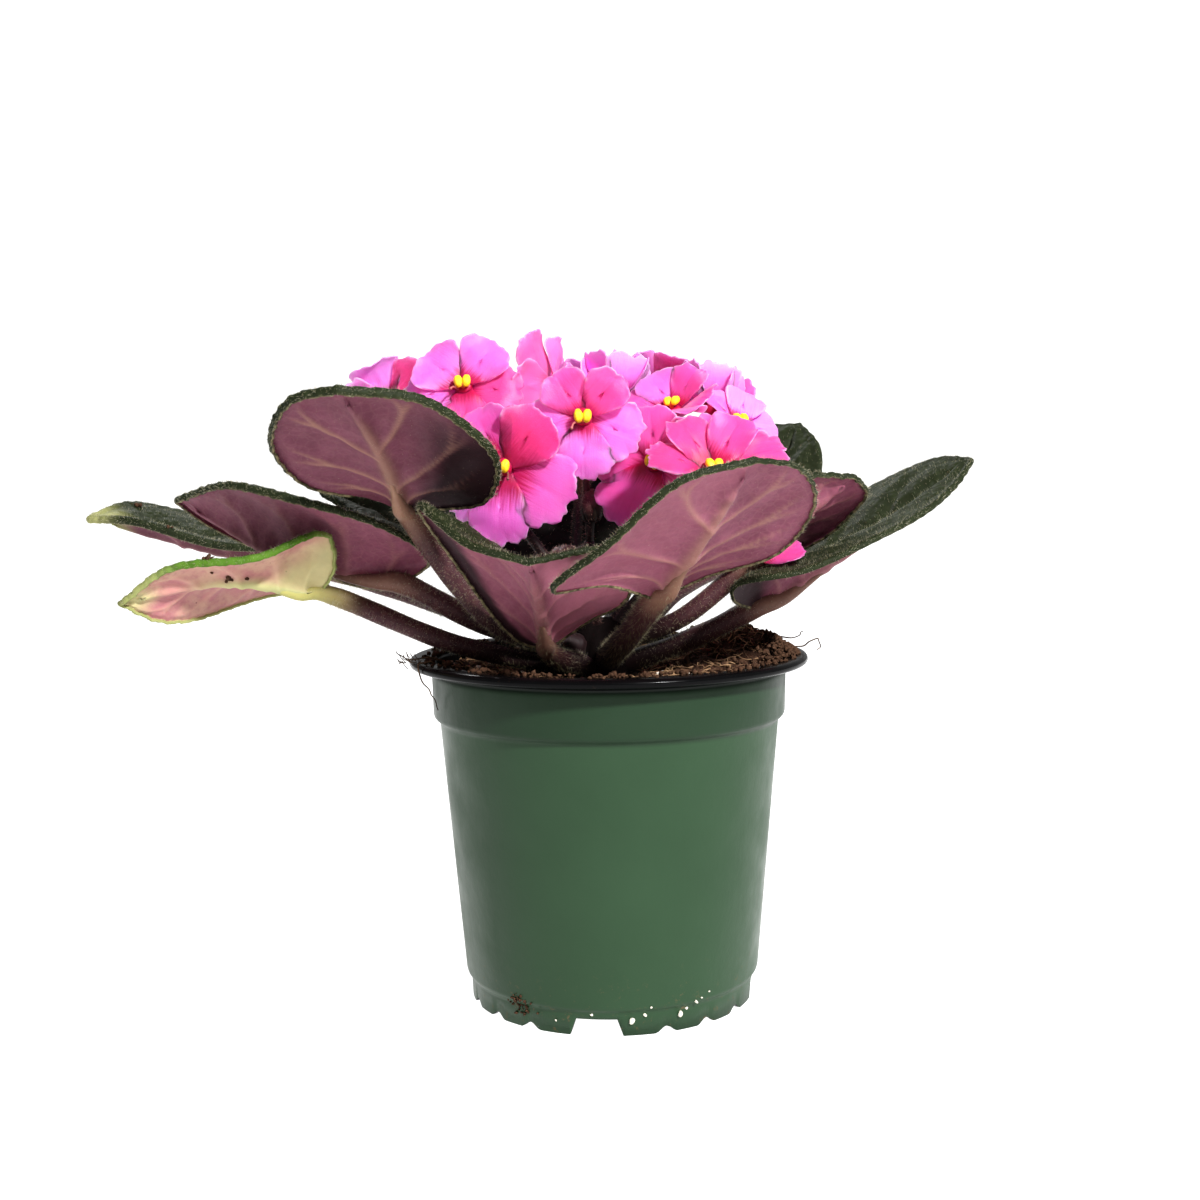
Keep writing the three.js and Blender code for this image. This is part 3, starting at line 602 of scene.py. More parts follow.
SKINS = {
    "under": leaf_under(),
    "upper": leaf_upper(),
    "petiole": petiole_skin(),
    "bark": bark_skin(),
    "hair": hair_skin("hair", (138, 132, 96), (190, 182, 152)),
    "stalk_hair": hair_skin("stalk_hair", (150, 100, 92), (200, 164, 150)),
    "petal": petal_skin(),
    "anther": anther_skin(),
    "stalk": stalk_skin(),
    "peat": peat_skin(),
    "crumb": crumb_skin(),
    "fibre": fibre_skin("fibre", (84, 60, 44), (178, 146, 112)),
    "root": fibre_skin("root", (46, 34, 26), (110, 88, 66)),
    "perlite": perlite_skin(),
    "green": pot_green(),
    "black": pot_black(),
}


# The pot
POT = Sizes(
    height=99,
    rim_radius=57.5,
    lip_height=2.5,
    neck_radius=50.6,
    band_top=94,
    band_bottom=81.5,
    band_radius=51,
    band_foot_radius=50.7,
    shoulder_radius=48.9,
    foot_top=7,
    foot_top_radius=42.6,
    foot_radius=41,
    wall=1.2,
    floor_height=5.2,
    pad_radius=24,
)
NOTCH = Sizes(first=-96.3, top_width=11.3, foot_width=14.6, height=4.6)
NOTCHES = [NOTCH.first + 90 * quarter for quarter in range(4)]
SCALLOP = Sizes(offsets=(27, 45, 63), half_width=3.3, height=1.8)
GAP = 0.3
CENTRE = np.array([-3.0, 0.0, 0.0])


def foot_edge(angles):
    """How far the foot's lower edge stands above the floor, at angles in degrees round the pot."""
    def arc(heading):
        return np.abs(np.radians((angles - heading + 180) % 360 - 180)) * POT.foot_radius

    height = np.zeros_like(angles)
    top, foot = NOTCH.top_width / 2, NOTCH.foot_width / 2
    for middle in NOTCHES:
        height = np.maximum(height, NOTCH.height * np.clip((foot - arc(middle)) / (foot - top), 0, 1))
        for offset in SCALLOP.offsets:
            share = np.clip(arc(middle + offset) / SCALLOP.half_width, 0, 1)
            height = np.maximum(height, SCALLOP.height * np.cos(share * math.pi / 2) ** 2)
    return height


def foot_angles():
    """Even steps round the pot in degrees, and more of them at the notches and scallops."""
    spots = set(np.arange(0, 360, 2.5))
    for middle in NOTCHES:
        for half in (NOTCH.top_width / 2, NOTCH.foot_width / 2):
            turn = math.degrees(half / POT.foot_radius)
            spots |= {(middle + side * (turn + nudge)) % 360 for side in (1, -1) for nudge in (-0.05, 0.05)}
        for offset in SCALLOP.offsets:
            spots |= {(middle + offset + step) % 360 for step in (-4.5, -3, -1.5, 0, 1.5, 3, 4.5)}
    return np.array(sorted(spots))


def pot_profile():
    """The floor from below, the outside from the foot up, and the rim with the inside down to the floor."""
    p = POT
    flange = p.height - p.lip_height
    inner_foot = p.foot_radius - p.wall
    inner_floor = p.floor_height + p.wall
    shoulder, band_foot = p.band_bottom - 0.8, p.band_bottom + 0.6
    below = [(0.5, 0), (p.pad_radius, 0), (p.pad_radius + 2, p.floor_height), (inner_foot, p.floor_height),
             (inner_foot, 0)]
    outside = [
        (p.foot_radius, 0),
        (p.foot_radius + 0.3, p.foot_top - 0.6),
        (p.foot_top_radius, p.foot_top + 0.6),
        (p.shoulder_radius, shoulder),
        (p.band_foot_radius, band_foot),
        (p.band_radius, p.band_top),
        (p.neck_radius, flange - 1.2),
    ]
    rim = [
        (p.neck_radius + 0.3, flange - 1.0),
        (p.neck_radius + 1.4, flange),
        (p.rim_radius - 0.9, flange - 0.1),
        (p.rim_radius, flange + 0.9),
        (p.rim_radius - 0.5, p.height - 0.25),
        (p.rim_radius - 2.2, p.height),
        (p.band_radius - 0.2, p.height - 0.1),
        (p.band_radius - p.wall - 0.4, p.height - 1.6),
        (p.band_foot_radius - p.wall, band_foot),
        (p.shoulder_radius - p.wall, shoulder),
        (p.foot_top_radius - p.wall, p.foot_top + 1.2),
        (inner_foot, inner_floor),
        (p.pad_radius + 1, inner_floor),
        (p.pad_radius - 1, p.wall),
        (0.5, p.wall),
    ]
    return softened(below, 0.7, 2), softened(outside, 0.8, 2), softened(rim, 0.9, 2)


def pot():
    floor, skirt, brim = pot_profile()
    angles = foot_angles()
    sides = len(angles)
    lift = foot_edge(angles)
    rings = []
    for radius, z in np.vstack([floor, skirt, brim]):
        at_foot = (radius > POT.pad_radius + 4) * (1 - np.clip(z / NOTCH.height, 0, 1))
        rings.append(ring(radius, np.radians(angles), z + lift * at_foot))
    strip = np.repeat(np.arange(len(rings) - 1), sides)
    is_green = (strip >= len(floor)) & (strip < len(floor) + len(skirt) - 1)
    colour = np.where(is_green, 0, 1)
    made = Build()
    made.add(*capped(rings), np.concatenate([colour, colour, np.ones(2 * sides)]))
    made.object("nursery_pot", ["green", "black"], "pot_plastic", ["pot"])


# The soil
SOIL = Sizes(top=95, dish=5.5, dish_radius=19, mound=8.5, mound_at=(40, 18), mound_radius=16,
             edge=POT.band_foot_radius - POT.wall - GAP - 0.3, sides=120, rings=46)


def soil_height(x, y):
    from_crown = np.hypot(x - CENTRE[0], y - CENTRE[1])
    mx, my = SOIL.mound_at
    mound = SOIL.mound * np.exp(-((x - mx) ** 2 + (y - my) ** 2) / SOIL.mound_radius ** 2)
    clods = 0.5 * np.sin(0.31 * x + 1) * np.cos(0.27 * y) + 0.3 * np.sin(0.7 * x - 0.5 * y)
    return SOIL.top - SOIL.dish * bell(from_crown, SOIL.dish_radius) + mound + clods


def soil():
    around = np.arange(SOIL.sides) / SOIL.sides * TURN
    inside = POT.wall + GAP
    wall = [
        (POT.foot_radius - inside - 1.2, POT.floor_height + inside),
        (POT.foot_top_radius - inside - 0.3, POT.foot_top + 2),
        (POT.shoulder_radius - inside - 0.1, POT.band_bottom - 0.8),
        (SOIL.edge - 0.1, POT.band_bottom + 0.8),
        (SOIL.edge, POT.band_top - 1.2),
    ]
    rings = [ring(radius, around, z) for radius, z in wall]
    for share in np.linspace(0.985, 0.02, SOIL.rings):
        flat = ring(SOIL.edge * share, around, 0.0)
        rough = 0.55 * ripple(flat, 7, 11) + 0.35 * ripple(flat, 2.6, 12) + 0.2 * ripple(flat, 1.2, 13)
        rings.append(flat + [0, 0, 1] * (soil_height(flat[:, 0], flat[:, 1]) + rough)[:, None])
    made = Build()
    made.add(*capped(rings))
    made.object("peat", ["peat"], "peat", ["soil"])


def ball(level):
    """The points and faces of a unit icosphere."""
    golden = (1 + math.sqrt(5)) / 2
    pairs = [(a, b * golden) for b in (1, -1) for a in (-1, 1)]
    points = [(a, b, 0) for a, b in pairs] + [(0, a, b) for a, b in pairs] + [(b, 0, a) for a, b in pairs]
    faces = [(0, 11, 5), (0, 5, 1), (0, 1, 7), (0, 7, 10), (0, 10, 11), (1, 5, 9), (5, 11, 4), (11, 10, 2)]
    faces += [(10, 7, 6), (7, 1, 8), (3, 9, 4), (3, 4, 2), (3, 2, 6), (3, 6, 8), (3, 8, 9), (4, 9, 5)]
    faces += [(2, 4, 11), (6, 2, 10), (8, 6, 7), (9, 8, 1)]
    points = [np.array(p, float) / np.linalg.norm(p) for p in points]
    for _ in range(level):
        middle = {}

        def half(a, b):
            key = (min(a, b), max(a, b))
            if key not in middle:
                middle[key] = len(points)
                points.append(unit(points[a] + points[b]))
            return middle[key]

        split = []
        for a, b, c in faces:
            ab, bc, ca = half(a, b), half(b, c), half(c, a)
            split += [(a, ab, ca), (b, bc, ab), (c, ca, bc), (ab, bc, ca)]
        faces = split
    return np.array(points), np.array(faces)


BALLS = {level: ball(level) for level in (0, 1, 2, 3)}


def lump(at, size, seed, level=1, flat=0.75):
    """An irregular crumb."""
    rng = np.random.default_rng(seed)
    points, faces = BALLS[level]
    bumps = 1 + 0.28 * ripple(points, 1.7, seed) + rng.normal(scale=0.06, size=len(points))
    shape = points * bumps[:, None] * size * rng.uniform(0.7, 1.25, 3) * [1, 1, flat]
    turn = np.array(Matrix.Rotation(rng.uniform(0, TURN), 3, unit(rng.normal(size=3))))
    return shape @ turn.T + at, faces


def soil_spot(rng):
    angle = rng.uniform(0, TURN)
    reach = SOIL.edge * 0.97 * math.sqrt(rng.uniform(0.03, 1))
    return reach * math.cos(angle), reach * math.sin(angle)


CRUMBS = Sizes(all_over=1300, on_mound=420, mound_spread=9, rounder_from=0.9)
# Crumbs that spill over the inner edge of the rim, three in four of them at the right
SPILL = Sizes(crumbs=1500, middle=12, spread=20, inner=48.5, outer=54.5, height=4.5)
FIBRES = Sizes(count=620, shortest=3, longest=13)
PERLITE = Sizes(count=46, smallest=0.35, largest=1.0)


def crumbs():
    rng = np.random.default_rng(21)
    made = Build()

    def crumb(x, y, size, raised, seed):
        at = np.array([x, y, soil_height(x, y) + raised * size])
        made.add(*lump(at, size, seed, 1 if size > CRUMBS.rounder_from else 0))

    for number in range(CRUMBS.all_over):
        crumb(*soil_spot(rng), rng.uniform(0.3, 1.05), 0.25, 100 + number)
    for number in range(CRUMBS.on_mound):
        x, y = (middle + rng.normal(scale=CRUMBS.mound_spread) for middle in SOIL.mound_at)
        if math.hypot(x, y) <= SOIL.edge - 1.5:
            crumb(x, y, rng.uniform(0.35, 1.1), 0.35, 2400 + number)
    for number in range(SPILL.crumbs):
        in_heap = number % 4 > 0
        angle = math.radians(rng.normal(SPILL.middle, SPILL.spread) if in_heap else rng.uniform(0, 360))
        share = rng.uniform(0, 1) ** 1.5
        radius = lerp(SPILL.inner, SPILL.outer, share)
        size = rng.uniform(0.3, 0.95)
        z = POT.height + rng.uniform(0, SPILL.height * (1 - share) * in_heap) + 0.2 * size
        at = np.array([radius * math.cos(angle), radius * math.sin(angle), z])
        made.add(*lump(at, size, 3000 + number, 0))
    made.object("peat_crumbs", ["crumb"], "peat")


def strand(start, heading, reach, rng, steps=5, curl=0.4):
    """A path that wanders over the soil from a point."""
    path = [np.array(start, float)]
    most = SOIL.edge - 0.8
    for _ in range(steps):
        heading += rng.normal(scale=curl)
        x, y = path[-1][:2] + reach / steps * np.array([math.cos(heading), math.sin(heading)])
        over = math.hypot(x, y)
        if over > most:
            x, y = x * most / over, y * most / over
        path.append(np.array([x, y, soil_height(x, y) + rng.uniform(0.3, 1.3)]))
    return Curve(path, 8).at(np.linspace(0, 1, steps + 3))


def fibres():
    rng = np.random.default_rng(31)
    made = Build()
    for _ in range(FIBRES.count):
        x, y = soil_spot(rng)
        heading, reach = rng.uniform(0, TURN), rng.uniform(FIBRES.shortest, FIBRES.longest)
        path = strand((x, y, soil_height(x, y) + 0.4), heading, reach, rng)
        made.add(*tube(path, lerp(0.2, 0.09, np.linspace(0, 1, len(path))) * rng.uniform(0.6, 1.3), 4))
    made.object("peat_fibres", ["fibre"], "peat")


def perlite():
    rng = np.random.default_rng(41)
    made = Build()
    for number in range(PERLITE.count):
        x, y = soil_spot(rng)
        size = rng.uniform(PERLITE.smallest, PERLITE.largest)
        made.add(*lump(np.array([x, y, soil_height(x, y) + 0.5 * size]), size, 2000 + number, 1, 0.9))
    made.object("perlite", ["perlite"], "peat")


# The crown
CROWN = Sizes(radius=9.5, top_radius=7, bottom=70, top=109)


def crown():
    c = CROWN
    outline = [(0.3, c.bottom), (c.radius * 0.6, c.bottom), (c.radius, c.bottom + 6), (c.radius, c.top - 7),
               (c.top_radius, c.top), (0.3, c.top)]
    outline = Curve([(r, z, 0) for r, z in softened(outline, 2)], 6).at(np.linspace(0, 1, 40))[:, :2]
    points, faces = turned(outline, 48)
    rough = ripple(points, 4, 51) * 0.4 + ripple(points, 1.5, 52) * 0.15
    outwards = points * [1, 1, 0]
    points = points + unit(outwards) * (rough - 0.3)[:, None] * (length(outwards) > 2)
    made = Build()
    made.add(points + CENTRE, faces)
    made.object("crown_stem", ["bark"], "crown_bark", ["crown"])


# The leaves
LEAF = Sizes(thickness=1.0, edge_thickness=0.7, inset=(0.05, 0.9), arch=0.09, rim=2.2, rim_turn=120, wave=0.7)
VEINS = Sizes(rib_width=(2.4, 0.9), rib_height=(1.7, 0.2), side_width=(0.95, 0.4), side_height=0.42,
              swell_width=3.2, quilt=0.75, groove=0.35)
FINE = Sizes(steps=84, shares=26)
PLAIN = Sizes(steps=48, shares=16)
ROLL_SHARES = np.linspace(1.14, 2.0, 7)
PLAIN_VEINS = {1: ((0.0, 0.26), (0.2, 0.48), (0.42, 0.68), (0.66, 0.86)),
               -1: ((0.03, 0.3), (0.25, 0.52), (0.48, 0.74), (0.7, 0.9))}
PLAIN_ROLL = {1: (0.2, 0.5), -1: (0.2, 0.5)}
NEITHER = {1: 0.0, -1: 0.0}
NO_SHADOW_BAND = (2.0, 2.1)
DARKEST = 0.92

# The same points as in the part's source. Left and right are as seen from above, from neck to tip, and
# 1 stands for left and -1 for right.
# `roll`: how far each margin rolls under near the neck and near the tip, as a share of the rim.
# `veins`: where each side vein starts on the midrib and ends at the margin, as shares from neck to tip.
# `tone`: how clearly the veins show. `tip`: how lime the tip is. `ripe`: how pink and lime the leaf is.
# `dusk`: how dark painted shade makes the underside, all over and in each half near the neck.
# `light`: how far painted light lifts each half toward pale pink.
# `shadow_band`: where, from midrib to margin, the band of painted shadow on the right half starts and is
# full.
# `shade`: how nearly black painted shade makes the whole leaf.
LEAVES = [
    {"name": "leaf_low_left", "root": (205, 94.8), "bend": (-43, -12.5, 103.5), "stalk": 2.7, "ripe": 0.9,
     "tone": 0.5, "roll": {1: (0.3, 0.4), -1: (0.1, 0.15)},
     "rib": [(-80, -18, 119), (-106, -30, 123), (-130, -34, 118)],
     "left": [(-75, -24, 127), (-76, -28, 135), (-91, -38, 131), (-116, -38, 127)],
     "right": [(-79, -12, 120), (-93, -6, 118), (-105, -14, 115), (-121, -28, 113)]},
    {"name": "leaf_left", "root": (186, 101.3), "bend": (-35, -7, 108.5), "stalk": 3.1,
     "tone": 0.3, "dusk": (0.08, {1: 0.0, -1: 0.25}), "roll": {1: (0.25, 0.6), -1: (0.2, 0.4)},
     "rib": [(-58, -14, 121), (-90, -12, 128), (-121, -8, 145)],
     "left": [(-50, -14, 127), (-58, -30, 136), (-76, -36, 144), (-100, -28, 149)],
     "right": [(-59, 0, 119), (-77, 8, 120), (-100, 10, 130), (-116, 2, 139)]},
    {"name": "leaf_far_left", "root": (166, 96), "bend": (-42, 14, 109), "stalk": 2.6, "tip": 0.9,
     "dusk": (0.4, {1: 0.0, -1: 0.0}),
     "rib": [(-86, 32, 121), (-124, 32, 129), (-157, 24, 139)],
     "left": [(-75, 28, 118), (-84, 20, 126), (-114, 16, 131), (-139, 16, 138)],
     "right": [(-84, 48, 124), (-103, 60, 134), (-132, 56, 138), (-149, 40, 143)]},
    {"name": "leaf_upper_left", "root": (229, 101.6), "bend": (-30, -17, 109.5), "stalk": 3.4,
     "tone": 1.0, "dusk": (0.25, {1: 0.88, -1: 0.0}), "roll": {1: (0.3, 0.6), -1: (0.0, 0.55)},
     "rib": [(-54, -28, 141), (-57, -58, 158), (-63, -80, 172)],
     "left": [(-44, -34, 143), (-31, -47, 145), (-28, -58, 156), (-42, -73, 169)],
     "right": [(-63, -32, 145), (-78, -44, 150), (-83, -58, 159), (-75, -74, 170)],
     "veins": {1: ((0.0, 0.46), (0.22, 0.66), (0.6, 0.86)), -1: ((0.0, 0.36), (0.24, 0.55), (0.52, 0.8))}},
    {"name": "leaf_behind_left", "root": (147, 103), "bend": (-30, 18, 116), "stalk": 2.6,
     "rib": [(-51, 24, 125), (-69, 34, 137), (-89, 40, 146)],
     "left": [(-48, 14, 124), (-61, 12, 130), (-74, 22, 139)],
     "right": [(-52, 40, 133), (-66, 52, 146), (-82, 50, 151)]},
    {"name": "leaf_back_left", "root": (115, 97), "bend": (-15, 24, 112), "stalk": 2.7,
     "rib": [(-22, 38, 128), (-34, 60, 143), (-48, 82, 150)],
     "left": [(-34, 32, 128), (-52, 42, 138), (-60, 62, 148), (-60, 78, 152)],
     "right": [(-16, 48, 132), (-4, 64, 142), (-12, 82, 150), (-32, 90, 152)]},
    {"name": "leaf_back", "root": (75, 101), "bend": (4, 26, 114), "stalk": 2.7,
     "rib": [(9, 38, 130), (16, 58, 147), (22, 84, 156)],
     "left": [(-2, 40, 134), (-8, 56, 150), (-4, 74, 158), (9, 84, 160)],
     "right": [(20, 34, 129), (32, 48, 138), (37, 66, 148), (32, 82, 154)]},
    {"name": "leaf_young", "root": (100, 107), "bend": (-3, 9, 113), "stalk": 2, "shade": 0.9,
     "rib": [(-3, 15, 119), (-5, 26, 134), (-6, 34, 149)],
     "left": [(-16, 6, 117.5), (-30, 9, 127), (-25, 27, 145)],
     "right": [(7, 11, 122), (14, 19, 133), (10, 29, 146)]},
    {"name": "leaf_front", "root": (250, 96), "bend": (-13, -15, 99), "stalk": 3.0,
     "tone": 0.35, "light": {1: 0.55, -1: 0.12}, "shadow_band": (0.72, 0.9),
     "roll": {1: (0.1, 0.25), -1: (0.3, 0.35)},
     "rib": [(-17, -22, 103), (-18, -46, 118), (-19, -68, 130)],
     "left": [(-6, -20, 110), (3, -30, 116), (7, -42, 127), (-3, -60, 132)],
     "right": [(-24, -20.5, 105.5), (-38.5, -33, 125), (-47, -50, 144), (-34, -64, 134)]},
    {"name": "leaf_front_right", "root": (288, 98), "bend": (5, -24, 106), "stalk": 3.4,
     "tone": 0.8, "light": {1: 0.0, -1: 0.16}, "roll": {1: (0.1, 0.2), -1: (0.05, 0.35)},
     "rib": [(13, -38, 118), (23, -58, 133), (35, -78, 154)],
     "left": [(25, -36, 123), (43, -42, 130), (52, -56, 143), (46, -70, 152)],
     "right": [(1, -56, 123), (-13, -70, 123), (1, -80, 136), (17, -84, 149)],
     "veins": {1: ((0.04, 0.34), (0.16, 0.52), (0.32, 0.68), (0.6, 0.84)),
               -1: ((0.02, 0.34), (0.3, 0.6), (0.62, 0.86))}},
    {"name": "leaf_right", "root": (325, 102.5), "bend": (21, -10, 110), "stalk": 2.7,
     "tone": 0.3, "roll": {1: (0.2, 0.4), -1: (0.1, 0.3)},
     "rib": [(39, -10, 124), (50, -20, 135), (67, -26, 149)],
     "left": [(48, -2, 125), (62, -6, 134), (71, -18, 144)],
     "right": [(32, -18, 127), (35, -24, 139), (52, -30, 149)]},
    {"name": "leaf_far_right", "root": (348, 96), "bend": (24, -6, 103.5), "stalk": 3.0,
     "tone": 0.3, "dusk": (0.05, {1: 0.0, -1: 1.1}), "roll": {1: (0.2, 0.3), -1: (0.05, 0.12)},
     "veins": {1: ((0.0, 0.4), (0.1, 0.6), (0.3, 0.8), (0.6, 0.95)),
               -1: ((0.0, 0.45), (0.15, 0.65), (0.4, 0.85))},
     "rib": [(42, -6, 112), (70, 0, 128), (107, 10, 153)],
     "left": [(43, 8, 118), (59, 24, 131), (80, 28, 145), (99, 22, 153)],
     "right": [(35, -22, 116), (35, -30, 121), (54, -32, 125), (81, -20, 135), (99, -2, 146)]},
    {"name": "leaf_back_right", "root": (35, 97), "bend": (20, 20, 114), "stalk": 2.6,
     "rib": [(40, 40, 123), (52, 54, 144), (64, 70, 165)],
     "left": [(35, 58, 127), (38, 72, 144), (51, 78, 163)],
     "right": [(48, 36, 123), (64, 44, 140), (68, 56, 157)]},
]
BACK_LEAVES = ("leaf_back", "leaf_back_left", "leaf_back_right", "leaf_young", "leaf_behind_left")


def crown_point(root, reach):
    heading, height = root
    angle = math.radians(heading)
    return CENTRE + [reach * math.cos(angle), reach * math.sin(angle), height]


class Blade:
    """The lower face of a leaf, between its midrib and the crests of its two margins."""

    def __init__(self, leaf):
        self.leaf = leaf
        self.rib = Curve(leaf["rib"])
        neck, tip = leaf["rib"][0], leaf["rib"][-1]
        self.crest = {1: Curve([neck, *leaf["left"], tip]), -1: Curve([neck, *leaf["right"], tip])}

    def rib_at(self, t):
        return self.rib.at(lerp(*LEAF.inset, t))

    def at(self, side, t, s):
        """A point for a side (1 left, -1 right), the share t from neck to tip, and s from midrib to crest."""
        inner = self.rib_at(t)
        span = self.crest[side].at(t) - inner
        level = np.clip(t, 0.2, 0.8)
        across = self.crest[side].at(level) - self.rib_at(level)
        up = unit(np.cross(self.rib.tangent(level), across) * side)
        share = np.minimum(s, 1)[:, None]
        bulge = LEAF.arch * length(span) * 4 * share * (1 - share)
        wave = LEAF.wave * np.sin(math.pi * t) * np.sin(11 * t + self.leaf["root"][0] + side)
        point = inner + span * share + up * (bulge + wave[:, None] * share**3)
        along = t * self.crest[side].length
        teeth = 0.2 * np.sin(along * 1.35 + self.leaf["root"][1]) + 0.16 * np.sin(along * 2.9 + side)
        point = point + unit(span) * (teeth * smooth(0.75, 1, s) * smooth(0, 0.1, t))[:, None]
        near_neck, near_tip = self.leaf.get("roll", PLAIN_ROLL)[side]
        roll = LEAF.rim * smooth(0, 0.12, t) * lerp(near_neck, near_tip, smooth(0.2, 0.6, t))
        past = np.clip(s - 1, 0, 1)
        turn = past * math.radians(LEAF.rim_turn)
        outwards = roll * (0.5 * np.sin(turn) - 0.73 * past ** 2)
        down = roll * (1 - np.cos(turn)) / 1.5
        return point - up * down[:, None] + unit(span) * outwards[:, None]

    def vein(self, side, t, s):
        """The distances in millimetres to the midrib and to the nearest side vein."""
        level = np.clip(t, 0.1, 0.9)
        width = length(self.crest[side].at(level) - self.rib_at(level))[:, 0]
        reach = self.rib.length
        to_vein = np.full(len(t), 99.0)
        for start, end in self.leaf.get("veins", PLAIN_VEINS)[side]:
            for fork in (-1, 1):
                away = fork * 0.11 * np.clip(s - 0.55, 0, 1)
                route = start + (end - start) * np.clip(s, 0, 1) ** 0.85 + away
                slope = (end - start) * reach / np.maximum(width, 4)
                to_vein = np.minimum(to_vein, np.abs(t - route) * reach / np.sqrt(1 + slope**2))
        return s * width, to_vein


def blade_sheet(blade, grain):
    """The lower side's points and faces, and for each point its side, t, s and distances to the veins."""
    n = grain.steps
    count = 2 * n
    rib_points = np.concatenate([np.arange(n), np.arange(n, 0, -1)])
    inner = 0.97 * np.linspace(0, 1, grain.shares)[1:] ** 1.15
    shares = np.concatenate([inner, [1.0], ROLL_SHARES])
    side = np.concatenate([np.ones(n + 1, int), np.tile(np.repeat([1, -1], n), len(shares))])
    t = np.concatenate([np.arange(n + 1), np.tile(rib_points, len(shares))]) / n
    s = np.concatenate([np.zeros(n + 1), np.repeat(shares, count)])
    points = np.zeros((len(t), 3))
    to_rib, to_vein = np.zeros(len(t)), np.zeros(len(t))
    for which in (1, -1):
        mine = side == which
        points[mine] = blade.at(which, t[mine], s[mine])
        to_rib[mine], to_vein[mine] = blade.vein(which, t[mine], s[mine])
    k = np.arange(count)
    after = (k + 1) % count
    faces = [np.stack([rib_points[after], rib_points[k], n + 1 + k, n + 1 + after], 1)]
    for start in n + 1 + count * np.arange(1, len(shares)):
        faces.append(np.stack([start - count + after, start - count + k, start + k, start + after], 1))
    return Sizes(points=points, faces=np.vstack(faces), side=side, t=t, s=s, to_rib=to_rib, to_vein=to_vein,
                 count=count, inside=smooth(1.0, 0.85, s))


def relief(sheet, number):
    """Both sides of a blade: veins raised below and sunk above, with quilting between them."""
    t, s = sheet.t, sheet.s
    sheet.rib = bell(sheet.to_rib, lerp(*VEINS.rib_width, t)) * smooth(1.0, 0.75, t)
    sheet.side_vein = bell(sheet.to_vein, lerp(*VEINS.side_width, np.clip(s, 0, 1))) * smooth(1.0, 0.6, s)
    swell = bell(np.minimum(sheet.to_rib, sheet.to_vein), VEINS.swell_width)
    quilt = VEINS.quilt * swell + ripple(sheet.points, 5.5, 300 + number) * 0.16
    raised = lerp(*VEINS.rib_height, t ** 0.6) * sheet.rib + VEINS.side_height * sheet.side_vein
    groove = VEINS.groove * np.maximum(sheet.rib, sheet.side_vein)
    thickness = lerp(LEAF.thickness, LEAF.edge_thickness, np.clip(s - 1, 0, 1))
    down = vertex_normals(sheet.points, sheet.faces)
    under = sheet.points + down * ((raised + quilt) * sheet.inside)[:, None]
    upper = sheet.points - down * (thickness - (quilt + groove) * sheet.inside)[:, None]
    return under, upper


def leaf_colours(leaf, sheet):
    """How much of each colour of the leaf materials shows at each point of a blade."""
    t, s = sheet.t, sheet.s
    left, right = sheet.side > 0, sheet.side < 0
    ripe = leaf.get("ripe", 0.0)
    at_tip = smooth(0.86, 0.98, t)
    lime = np.maximum(leaf.get("tip", 0.0) * at_tip, ripe * smooth(0.34, 0.16, t) * 0.8)
    lime = np.maximum(lime, ripe * np.maximum(sheet.rib * smooth(0.8, 0.4, t), 0.8 * at_tip))
    lime = np.maximum(lime, ripe * 0.9 * smooth(0.95, 1.1, s) * np.maximum(right, smooth(0.72, 0.9, t)))
    # painted shade, all over and in each half near the neck, lighter on the side veins
    all_over, near_neck = leaf.get("dusk", (0.0, NEITHER))
    in_half = np.where(left, near_neck[1], near_neck[-1]) * smooth(0.85, 0.35, t) * smooth(0.15, 0.7, s)
    # a band of painted shadow on the right half toward the margin, where the rolled margin lies in shade
    shadow_band = smooth(*leaf.get("shadow_band", NO_SHADOW_BAND), s) * right * smooth(0.75, 0.45, t)
    dusk = np.maximum((all_over + in_half) * (1 - 0.45 * sheet.side_vein), DARKEST * shadow_band)
    # painted light for each half
    lit = leaf.get("light", NEITHER)
    fields = {
        "vein": sheet.vein * leaf.get("tone", 0.3),
        "rim": smooth(1.84, 1.98, s),
        "ripe": ripe * np.where(left, 1, 0.72),
        "lime": lime,
        "dusk": np.minimum(dusk, DARKEST),
        "light": np.where(left, lit[1], lit[-1]) * smooth(0.0, 0.25, s),
        "shade": np.full(len(t), leaf.get("shade", 0.0)),
    }
    return {name: np.tile(values, 2) for name, values in fields.items()}


def petiole(leaf, blade, number):
    """The stem from the crown to the blade, which runs on under the midrib and sinks into it."""
    ridge = []
    for share, sink in ((0.06, 0.5), (0.22, 0.36), (0.42, 0.2)):
        spot = np.array([share])
        across = blade.at(1, spot, np.array([0.3])) - blade.at(-1, spot, np.array([0.3]))
        start = blade.at(1, spot, np.zeros(1))
        along = blade.at(1, spot + 0.1, np.zeros(1)) - start
        ridge.append((start - unit(np.cross(along, across)) * sink * leaf["stalk"])[0])
    to_neck = [crown_point(leaf["root"], CROWN.radius - 2), leaf["bend"], leaf["rib"][0]]
    path = Curve([*to_neck, *ridge])
    neck = Curve(to_neck).length / path.length
    share = np.linspace(0, 1, 64)
    radius = leaf["stalk"] * (1 - 0.9 * smooth(0.9 * neck, 1, share))
    radius = radius * (1 + 0.04 * ripple(path.at(share), 14, 600 + number))
    points, faces = tube(path.at(share), radius, 20)
    return Sizes(points=points, faces=faces, neck=neck, along=np.concatenate([np.repeat(share, 20), [0, 1]]))


